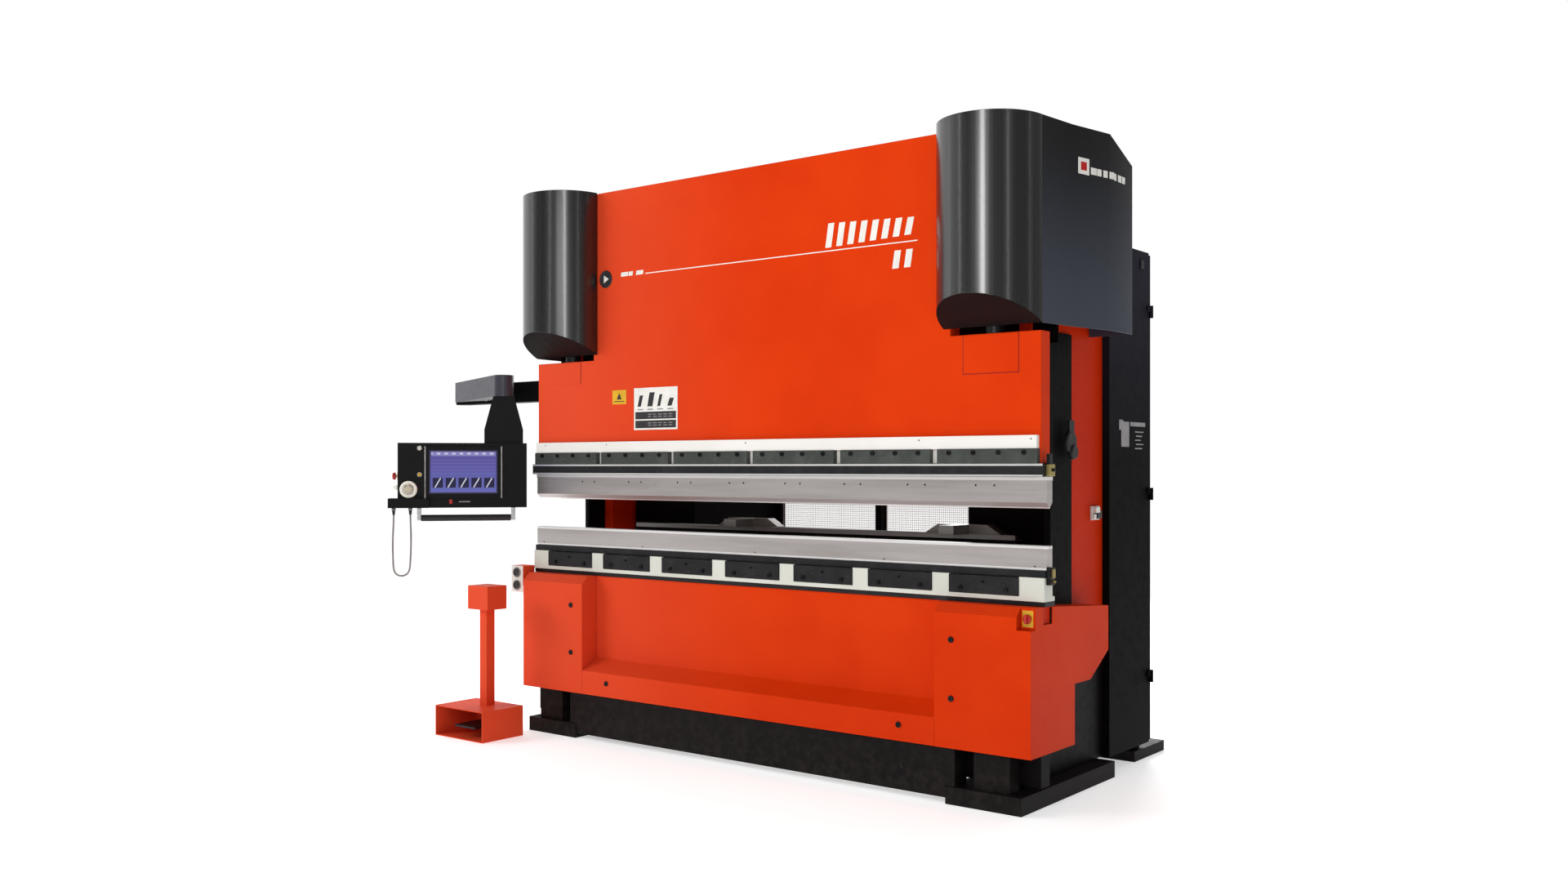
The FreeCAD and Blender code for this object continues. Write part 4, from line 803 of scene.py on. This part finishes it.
# %% The two notices on the ram
PRINT = (0.0014, 0.0008)
OVERPRINT = (0.0018, 0.0012)
notice = Workpiece()
on_ram(notice, rectangle(-0.800, -0.495, 1.625, 1.842), 0.001)
for z0, z1 in ((1.680, 1.718), (1.634, 1.673)):
    on_ram(notice, rectangle(-0.790, -0.505, z0, z1), *PRINT, 1)
for row, z in enumerate((1.690, 1.702, 1.646, 1.658)):
    for k in range(5):
        x = -0.700 + 0.036 * k
        on_ram(notice, rectangle(x, x + 0.026 - 0.006 * (k == row), z, z + 0.004), *OVERPRINT, 2)
for k, (width, tall) in enumerate(((0.024, 0.058), (0.036, 0.072), (0.020, 0.060), (0.030, 0.040))):
    x = -0.775 + 0.070 * k
    on_ram(notice, slanted(x, x + width, 1.745, 1.745 + tall, 0.016), *PRINT, 1)
    on_ram(notice, rectangle(x, x + 0.040, 1.727, 1.733), *PRINT, 2)
notice.make("white_notice", RAM, label_white, label_black, notice_grey, width=0.0002)
caution = Workpiece()
on_ram(caution, rectangle(-0.958, -0.858, 1.762, 1.836), 0.001)
on_ram(caution, rectangle(-0.945, -0.871, 1.775, 1.779), *PRINT, 1)
on_ram(caution, [(-0.925, 1.787), (-0.891, 1.787), (-0.908, 1.822)], *PRINT, 1)
caution.make("yellow_notice", RAM, signal_yellow, label_black, width=0.0002)
print("notices made")

# %% [markdown]
# At the right ends of the punch holder and the die rail small brass stops keep the tools from sliding out
# sideways. The machine's right side also shows a latch, a reader for the ram's scale, labels on the black
# cabinet, a cable slot near its top and a badge on the cover: again generic shapes.

# %% Fittings on the right side
SHELL_X = 1.445
GAP_PLATE_Y = -0.190
side_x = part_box("frame_right")[1].x
scale_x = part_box("scale_plates")[1].x
rail_low, rail_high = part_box("die_rail")
stop = placed(holder_high.x)
stop.boxes((0, 0.022, -0.352, -0.312, holder_low.z + 0.002, holder_high.z - 0.004, 0),
           (-0.001, 0.014, -0.346, -0.318, holder_high.z - 0.004, holder_high.z + 0.040, 1))
stop.turned([(0.007, 0), (0.007, 0.008), (0.005, 0.010)],
            facing((0.022, -0.332, holder_low.z + 0.028), RIGHT), 1)
stop.make("punch_end_stop", RAM, brass, bolt_black, width=0.0015)
stop = placed(rail_high.x)
stop.boxes((0, 0.020, -0.350, -0.310, rail_low.z - 0.030, rail_high.z + 0.014, 1),
           (0.019, 0.028, -0.340, -0.320, rail_low.z, rail_high.z + 0.008, 0))
stop.turned([(0.006, 0), (0.006, 0.012), (0.004, 0.014)],
            facing((0.020, -0.330, rail_low.z - 0.015), RIGHT))
stop.make("die_end_stop", FRAME, brass, bolt_black, width=0.0015)

placed(side_x).boxes(
    (0, 0.012, 0.372, 0.452, 1.188, 1.252, 0), (0.012, 0.030, 0.378, 0.420, 1.222, 1.248, 0),
    (0.012, 0.026, 0.400, 0.446, 1.194, 1.232, 1), (0.012, 0.022, 0.376, 0.398, 1.190, 1.216, 0)
).make("side_latch", FRAME, label_white, label_black, width=0.002)
screws("latch_screws", FRAME, [(side_x + 0.012, 0.385, 1.219), (side_x + 0.012, 0.440, 1.243)],
       0.004, 0.002, slide_steel, RIGHTWARDS)

# Dark plates close the gap between the upper covers and the ram's shoulders.
Workpiece().boxes(*((x0, x1, GAP_PLATE_Y, GAP_PLATE_Y + 0.003, 1.960, 2.060, 0)
                    for x0, x1 in ((-1.53, -0.95), (0.95, 1.53)))
                  ).make("gap_plates", FRAME, deep_black)
reader = placed(scale_x)
for y, z, radius, tall in ((0.090, 1.545, 0.050, 0.018), (0.105, 1.500, 0.034, 0.026)):
    reader.turned([(radius, 0), (radius, tall - 0.006), (radius - 0.006, tall)],
                  facing((0, y, z), RIGHT))
reader.boxes((0, 0.014, 0.070, 0.120, 1.560, 1.640, 0))
reader.make("scale_reader", FRAME, grip_rubber, width=0.002)

labels = placed(SHELL_X)
labels.boxes((0, 0.001, 0.640, 0.730, 1.530, 1.650, 0), (0, 0.0015, 0.615, 0.660, 1.610, 1.658, 0),
             (0, 0.001, 0.745, 0.920, 1.630, 1.650, 0))
for k in range(5):
    labels.boxes((0, 0.001, 0.800 + 0.012 * (k % 2), 0.900 - 0.016 * (k % 3), 1.600 - 0.020 * k,
                  1.606 - 0.020 * k, 0))
labels.make("cabinet_labels", FRAME, notice_grey, width=0.0002)
placed(SHELL_X).boxes(
    (0, 0.004, 0.855, 0.905, 2.396, 2.452, 0), (0, 0.006, 0.862, 0.898, 2.404, 2.444, 1)
).make("cabinet_cable_slot", FRAME, cabinet_black, grip_rubber, width=0.001)
print("side fittings made")

# %% The badge on the cover
hood_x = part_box("side_cover_right")[1].x
SEAM = Vector((1.567, -0.126, 0))
SLANT = Vector((hood_x, 0.127, 0)) - SEAM


def cover_place(y, z):
    """A place on the cover's outer side: X along it, -Y outwards. It slants in front of the corner."""
    flat = y > SEAM.y + SLANT.y
    along = Vector((0, 1, 0)) if flat else SLANT.normalized()
    x = hood_x if flat else SEAM.x + SLANT.x * (y - SEAM.y) / SLANT.y
    turn = Matrix((along, Vector((-along.y, along.x, 0)), (0, 0, 1))).transposed().to_4x4()
    return Matrix.Translation((x, y, z)) @ turn


cover_badge = Workpiece()
for width, height, thick, finish in ((0.076, 0.070, 0.0015, 0), (0.040, 0.036, 0.0022, 1)):
    cover_badge.plate(rectangle(-width / 2, width / 2, -height / 2, height / 2), 0, -thick, finish,
                      cover_place(-0.055, 2.722))
for k, length in enumerate((0.040, 0.030, 0.030, 0.034, 0.026, 0.036, 0.030)):
    cover_badge.plate(rectangle(0, length, 0, 0.030), 0, -0.0015, 0, cover_place(-0.006 + 0.043 * k, 2.694))
cover_badge.make("cover_badge", FRAME, label_white, signal_red, width=0.0003)
print("cover badge made")

# %% [markdown]
# The mains switch is a rotary isolator: a yellow plate and a red handle with a grip bar across it. The
# sockets for the foot pedal sit in a small box at the machine's other end, each with a screwed collar.

# %% Main switch and sockets
HANDLE_STEPS = ((0.011, 0.006, 0.019), (0.020, 0.0054, 0.01862), (0.025, 0.0042, 0.0171))
knob_low, knob_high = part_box("main_switch_knob")
knob_centre = (knob_low + knob_high) / 2
Workpiece().boxes((knob_centre.x - 0.025, knob_centre.x + 0.025, knob_high.y, knob_high.y + 0.0008,
                   knob_centre.z - 0.034, knob_centre.z + 0.034, 0)
                  ).make("isolator_plate", FRAME, signal_yellow, width=0.0003)
knob = Workpiece(facing((knob_centre.x, knob_high.y, knob_centre.z), AHEAD))
knob.turned([(0.016, 0), (0.020, 0.002), (0.020, 0.009), (0.018, 0.011), (0.010, 0.012)],
            Matrix(), 0, 48, 12, 0.0015)
knob.loft([[(x, z, height) for x, z in rectangle(-wide, wide, -tall, tall)]
           for height, wide, tall in HANDLE_STEPS])
knob.make("isolator_handle", "main_switch", signal_red, width=0.001, nodes=("main_switch_knob",))

SOCKET_X = socket_low.x + 0.0475
sockets = Workpiece()
for z in (0.783, 0.853):
    spot = facing((SOCKET_X, socket_low.y, z), AHEAD)
    sockets.turned([(0.027, -0.004), (0.027, 0.001), (0.025, 0.002)], spot, 1)
    sockets.turned([(0.021, 0.0), (0.021, 0.005), (0.019, 0.006), (0.015, 0.006), (0.014, 0.003),
                    (0.004, 0.003)], spot, 0, 48, 16, 0.001)
sockets.make("pedal_sockets", FRAME, label_black, slide_steel, width=0.0004)
print("switch and sockets made")

# %% [markdown]
# Behind the machine a guard of welded wire keeps hands out, and lets light through. Its wires are a row
# of uprights and a row of crossbars, each one thin cylinder copied along a line by a Geometry Nodes tree.
# The frame's own flat sheets are left out of the softened copies of the guard and its door.

# %% The wire pattern
wires = Pattern("welded_wires", Corner="Vector", Width="Float", Height="Float", Pitch="Float",
                Columns="Int", Rows="Int", Wire="Float")
given = wires.given


def wire_row(count, length, turn, step, **offset):
    """Wires of one direction: a cylinder on each point of a line that starts off the corner."""
    start = wires.add("ShaderNodeVectorMath", {0: given["Corner"], 1: wires.vector(**offset)})
    line = wires.add("GeometryNodeMeshLine", {"Count": count, "Start Location": start, "Offset": step})
    feeds = {"Vertices": 6, "Radius": given["Wire"], "Depth": length}
    wire = wires.add("GeometryNodeMeshCylinder", feeds)
    return wires.copies(line, wire, turn)


uprights = wire_row(given["Columns"], given["Height"], (0.0, 0.0, 0.0),
                    wires.vector(x=given["Pitch"]), z=given["Height"] * 0.5)
crossbars = wire_row(given["Rows"], given["Width"], RIGHTWARDS, wires.vector(z=given["Pitch"]),
                     x=given["Width"] * 0.5, y=given["Wire"])
wires.close(uprights, crossbars)
print("wire tree has", len(wires.tree.nodes), "nodes")

# %% The rear guard and its door
THIN = 0.004
WIRE_PITCH = 0.0125
WIRE = 0.0011


def thin_sheet(low, high):
    return high.y - low.y < THIN


for node, body in (("rear_guard", FRAME), ("rear_door", "rear_access_door")):
    for k, (low, high) in enumerate(pair for pair in solids_of(node) if thin_sheet(*pair)):
        width, height = high.x - low.x, high.z - low.z
        wires.grow("%s_wires_%d" % (node, k), dots([(0, 0, 0)]), body, mesh_white,
                   Corner=(low.x, (low.y + high.y) / 2, low.z), Width=width, Height=height,
                   Pitch=WIRE_PITCH, Columns=int(width / WIRE_PITCH), Rows=int(height / WIRE_PITCH),
                   Wire=WIRE)
    soften(node, 0.0015, cabinet_black, without=thin_sheet)
print("rear guard made")

# %% [markdown]
# A row pattern copies any small part along a straight line: the teeth of the back gauge's rack, and the
# louvres that cool the rear cabinets.

# %% The row pattern, rack teeth and louvres
TOOTH = 0.010
LOUVRE_PITCH = 0.022
DOOR_MIDDLE = 1.1585
DOOR_FACE = 0.985
rows_of = Pattern("rows_of", Count="Int", Step="Vector")
given = rows_of.given
row_line = rows_of.add("GeometryNodeMeshLine", {"Count": given["Count"], "Offset": given["Step"]})
rows_of.close(rows_of.copies(row_line, given["Geometry"]))
beam_low, beam_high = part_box("gauge_beam")
tooth = placed(beam_low.x + 0.012, beam_low.y, beam_high.z)
tooth.plate([(0, 0), (0.0075, 0), (0.005, 0.004), (0.0025, 0.004)], 0.003, 0.021)
rows_of.grow("rack_teeth", tooth.mesh("tooth", [slide_steel]), "gauge_bar", slide_steel,
             Count=int((beam_high.x - beam_low.x - 0.03) / TOOTH), Step=(TOOTH, 0, 0))
for side, middle in (("left", -DOOR_MIDDLE), ("right", DOOR_MIDDLE)):
    for part, z in (("low", 0.30), ("high", 1.90)):
        slat = placed(middle, DOOR_FACE, z)
        slat.loft([[(x, 0.0, 0.0), (x, 0.007, 0.0), (x, 0.007, 0.002), (x, 0.0, 0.014)]
                   for x in (-0.16, 0.16)])
        rows_of.grow("louvres_%s_%s" % (part, side), slat.mesh("slat", [cabinet_black], 0.0006),
                     side + "_cabinet_door", cabinet_black, Count=12, Step=(0, 0, LOUVRE_PITCH))
print("teeth and louvres made")

# %% [markdown]
# The control panel is where a hand goes, so it gets the closest work: a glass screen between two
# bright strips, a fluted dial with a spinner, two keys in collars, and a mushroom stop button on a
# yellow ring. Its parts are drawn straight and turned to where the panel faces.

# %% The panel's place
PANEL_PIVOT = (-1.720, -0.444, 0.0)
PANEL_TURN = math.radians(50)
PANEL = Matrix.Translation(PANEL_PIVOT) @ Matrix.Rotation(PANEL_TURN, 4, "Z")
PANEL_FRONT = -0.060
GLASS_FRONT = -0.066


def on_panel(x, y, z):
    """A point given along the panel's width, its depth and up."""
    return PANEL @ Vector((x, y, z))


print("panel turned by", round(math.degrees(PANEL_TURN)), "degrees")

# %% The screen
SCREEN = (-0.398, -0.034, 1.288, 1.524)


def screen_glass():
    """A plain user interface: a title strip, a field with faint rows and five dark keys."""
    skin = Finish("screen_glass", Roughness=0.12, Emission_Strength=0.85, Coat_Weight=0.6,
                  Coat_Roughness=0.03)
    where = skin.add("ShaderNodeUVMap", {})
    across, up = (skin.add("ShaderNodeSeparateXYZ", {0: where}, number) for number in (0, 1))
    title = up.over(0.87) * across.within(0.03, 0.97)
    blocks = skin.math("FRACT", across * 9.0).under(0.45) * up.within(0.90, 0.95)
    cell = skin.math("FRACT", (across - 0.03) * 5.3)
    offset = skin.math("ABSOLUTE", cell - 0.5)
    level = skin.math("ABSOLUTE", up - 0.25)
    key = offset.under(0.40) * level.under(0.115) * across.within(0.035, 0.955)
    bend = skin.math("ABSOLUTE", (cell - 0.5) * 0.5 - (up - 0.25))
    stroke = bend.under(0.028) * offset.under(0.24) * key
    faint = skin.math("FRACT", up * 13.0).under(0.12) * up.within(0.42, 0.84) * 0.18
    edge = 1.0 - across.within(0.02, 0.98) * up.within(0.03, 0.97)
    shade = skin.mix(up, (104, 108, 190), (92, 80, 158))
    for mask, tint in ((title, (142, 138, 200)), (title * blocks, (206, 204, 232)),
                       (faint, (180, 180, 230)), (key, (26, 24, 62)), (stroke, (214, 214, 232)),
                       (edge, (60, 56, 92))):
        shade = skin.mix(mask, shade, tint)
    skin.feed(Base_Color=(0.004, 0.004, 0.008, 1), Emission_Color=shade)
    return skin.material


def screen_pane(x0, x1, z0, z1):
    """A thin glass pane whose front has a UV map from corner to corner."""
    pane = Workpiece(PANEL).boxes((x0, x1, GLASS_FRONT - 0.0012, GLASS_FRONT, z0, z1, 0))
    mesh = pane.mesh("screen_pane", [screen_light])
    layer = mesh.uv_layers.new(name="screen")
    back = PANEL.inverted()
    for loop in mesh.loops:
        spot = back @ mesh.vertices[loop.vertex_index].co
        layer.data[loop.index].uv = ((spot.x - x0) / (x1 - x0), (spot.z - z0) / (z1 - z0))
    show("screen_pane", mesh, "control_panel")


screen_light = screen_glass()
SLOT_OF[screen_light.name] = "screen_glass"
screen_pane(*SCREEN)
Workpiece(PANEL).boxes(
    (-0.424, -0.416, GLASS_FRONT - 0.003, GLASS_FRONT, 1.262, 1.547, 0),
    (-0.016, -0.008, GLASS_FRONT - 0.003, GLASS_FRONT, 1.262, 1.547, 0)
).make("screen_frame", "control_panel", slide_steel, width=0.0008)
Workpiece(PANEL).boxes(
    (-0.292, -0.276, PANEL_FRONT - 0.002, PANEL_FRONT, 1.232, 1.256, 0),
    (-0.240, -0.180, PANEL_FRONT - 0.001, PANEL_FRONT, 1.240, 1.246, 1)
).make("panel_lamps", "control_panel", signal_red, notice_grey, width=0.0008)
print("screen made")

# %% Dial, keys and stop button
OUT = PANEL.to_3x3() @ Vector((0, -1, 0))
LEFT = PANEL.to_3x3() @ Vector((-1, 0, 0))
KEY_X = -0.450
START_Z, PAUSE_Z = 1.392, 1.536
COLLAR_DOTS = 24
COLLAR_RADIUS = 0.0115
dial = Workpiece()
dial_spot = facing(on_panel(-0.507, PANEL_FRONT - 0.0003, 1.311), OUT)
dial.turned([(0.040, 0), (0.047, 0.003), (0.047, 0.013), (0.044, 0.016)], dial_spot, 0, 144, 36, 0.0012)
dial.turned([(0.042, 0.015), (0.040, 0.018), (0.034, 0.0175), (0.031, 0.016), (0.020, 0.016)],
            dial_spot, 0, 64)
dial.turned([(0.019, 0.0155), (0.018, 0.0185), (0.014, 0.0195)], dial_spot, 1, 48)
dial.turned([(0.0065, 0.016), (0.006, 0.0195), (0.004, 0.0200)],
            dial_spot @ Matrix.Translation((0.0, 0.026, 0)), 1)
dial.make("dial_wheel", "panel_dial", dial_cream, dial_centre, width=0.0006, nodes=("hand_wheel",))
for name, z, material in (("start", START_Z, signal_yellow), ("pause", PAUSE_Z, key_white)):
    Workpiece().turned(
        [(0.0085, -0.006), (0.009, -0.004), (0.009, 0.004), (0.0075, 0.005), (0.004, 0.0052)],
        facing(on_panel(KEY_X, PANEL_FRONT, z), OUT)
    ).make(name + "_cap", name + "_key", material, width=0.0004, nodes=(name + "_button",))
rings = Workpiece()
for z in (START_Z, PAUSE_Z):
    for k in range(COLLAR_DOTS):
        angle = 2 * math.pi * k / COLLAR_DOTS
        spot = on_panel(KEY_X + COLLAR_RADIUS * math.cos(angle), PANEL_FRONT,
                        z + COLLAR_RADIUS * math.sin(angle))
        rings.turned([(0.0017, 0), (0.0017, 0.0018)], facing(spot, OUT), 0, 8)
rings.make("key_collars", "control_panel", chrome_rod, width=0)
yellow_ring = Workpiece()
stop_spot = facing(on_panel(-0.565, 0, 1.383), LEFT)
yellow_ring.turned([(0.024, 0), (0.024, 0.0035), (0.022, 0.0045), (0.015, 0.0045)], stop_spot)
yellow_ring.turned([(0.0072, 0.004), (0.0072, 0.015)], stop_spot, 1)
yellow_ring.make("stop_collar", "control_panel", signal_yellow, slide_steel, width=0.0005)
Workpiece().turned(
    [(0.012, 0), (0.012, 0.010), (0.008, 0.012), (0.008, 0.020), (0.006, 0.022)],
    facing(on_panel(-0.565, -0.035, 1.322), LEFT), 0, 32
).make("panel_plug", "control_panel", dial_cream, width=0.0006)
Workpiece().turned(
    [(0.0085, 0.026), (0.0085, 0.012), (0.018, 0.0135), (0.020, 0.018), (0.020, 0.024),
     (0.017, 0.029), (0.010, 0.0315), (0.004, 0.032)], stop_spot, 0, 48
).make("stop_mushroom", "stop_button", signal_red, width=0.0008, nodes=("emergency_stop",))
print("dial, keys and stop button made")

# %% [markdown]
# The cable is a short loop of flexible lead that hangs below the panel between two glands. It is one
# smooth curve with a round bevel: a NURBS spline whose control points are the route's corners.

# %% The cable loop
CABLE_DEPTH = -0.020
CABLE_ROUTE = [
    (-0.588, 1.195), (-0.588, 1.135), (-0.592, 1.070), (-0.5935, 0.998), (-0.5915, 0.925),
    (-0.588, 0.862), (-0.5635, 0.838), (-0.5285, 0.838), (-0.504, 0.862), (-0.4995, 0.925),
    (-0.497, 0.998), (-0.4965, 1.070), (-0.500, 1.135), (-0.500, 1.195),
]
lead = bpy.data.curves.new("cable_loop", "CURVE")
lead.dimensions = "3D"
lead.bevel_depth = 0.005
lead.bevel_resolution = 5
lead.use_fill_caps = True
line = lead.splines.new("NURBS")
line.points.add(len(CABLE_ROUTE) - 1)
for point, (x, z) in zip(line.points, CABLE_ROUTE):
    point.co = (*on_panel(x, CABLE_DEPTH, z), 1)
line.order_u = 3
line.use_endpoint_u = True
line.resolution_u = 12
lead.materials.append(cable_rubber)
cable = add_object("hanging_cable", lead)
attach(cable, "control_panel")
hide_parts("cable_loop")
print("cable has", len(CABLE_ROUTE), "control points")
boots = Workpiece()
for x in (CABLE_ROUTE[0][0], CABLE_ROUTE[-1][0]):
    down = facing(on_panel(x, CABLE_DEPTH, 1.195), (0, 0, -1))
    boots.turned([(0.012, -0.012), (0.012, -0.003), (0.010, -0.001)], down, 1, 6)
    boots.turned([(0.009, -0.001), (0.0085, 0.004), (0.0068, 0.020), (0.0055, 0.024)], down, 0, 24)
boots.make("cable_boots", "control_panel", grip_rubber, slide_steel, width=0.0004)

# %% [markdown]
# The stage is a pale floor in a bright studio. The sky is white behind the machine and to its left, and
# dims in front and to the right, so that the side faces fall into shade and the black noses have
# something dark to mirror. Tall narrow lamps then draw the upright streaks on the noses, so the broad
# key lamp itself is kept out of the reflections.

# %% Floor, lamps and sky
FLOOR_REACH = 30
FLOOR_GLOW = 0.5


def lamp(name, place, aim, size, power, mirrored=True):
    light = bpy.data.lights.new(name, "AREA")
    light.shape = "RECTANGLE"
    light.size, light.size_y = size
    light.energy = power
    item = add_object(name, light)
    item.location = place
    item.visible_glossy = mirrored
    item.rotation_euler = (Vector(aim) - Vector(place)).to_track_quat("-Z", "Y").to_euler()


def studio_sky(bright_side, dim, bright):
    """A sky that is bright towards one side and dim away from it."""
    sky = bpy.data.worlds.new("studio_sky")
    sky.use_nodes = True
    nodes = Nodes(sky.node_tree)
    where = nodes.add("ShaderNodeTexCoord", {})
    towards = nodes.add("ShaderNodeVectorMath", {0: where, 1: bright_side}, 1, operation="DOT_PRODUCT")
    strength = towards.ramp(0.05, 0.60, dim, bright)
    nodes.fill(sky.node_tree.nodes["Background"], {0: (1, 1, 1, 1), 1: strength})
    bpy.context.scene.world = sky


mesh = bpy.data.meshes.new("pale_floor")
corners = rectangle(-FLOOR_REACH, FLOOR_REACH, -FLOOR_REACH, FLOOR_REACH)
mesh.from_pydata([(x, y, 0) for x, y in corners], [], [(0, 1, 2, 3)])
skin = Finish("pale_floor", Roughness=0.7, Emission_Color=(1, 1, 1, 1), Emission_Strength=FLOOR_GLOW)
skin.feed(Base_Color=skin.mix(skin.noise(3.0, 5.0), (240, 240, 240), (246, 246, 246)))
mesh.materials.append(skin.material)
floor = add_object("pale_floor", mesh)
floor.location.z = -0.001
studio_sky((-0.75, 0.58, 0.32), 0.18, 1.0)
lamp("key_lamp", (-6.4, -6.4, 4.6), (0, -0.3, 1.8), (3.4, 2.8), 250, mirrored=False)
lamp("front_lamp", (2.2, -7.5, 3.4), (0, -0.3, 1.0), (2.0, 2.0), 40)
lamp("rear_lamp", (-2.0, 7.5, 4.0), (0, 0.6, 1.2), (3.0, 3.0), 330)
STREAKS = [(1.97, -4.29, 0.50, 48), (-1.20, -3.45, 0.08, 6), (3.90, -1.90, 0.08, 4),
           (4.20, 0.55, 0.06, 1.5), (-4.50, -2.70, 0.10, 3)]
for k, (x, y, width, power) in enumerate(STREAKS):
    lamp("streak_lamp_%d" % k, (x, y, 3.2), (1.3 if x > -2 else -1.3, -0.35, 3.2), (width, 2.4), power)
bpy.context.scene.view_settings.view_transform = "Standard"
print("stage ready")
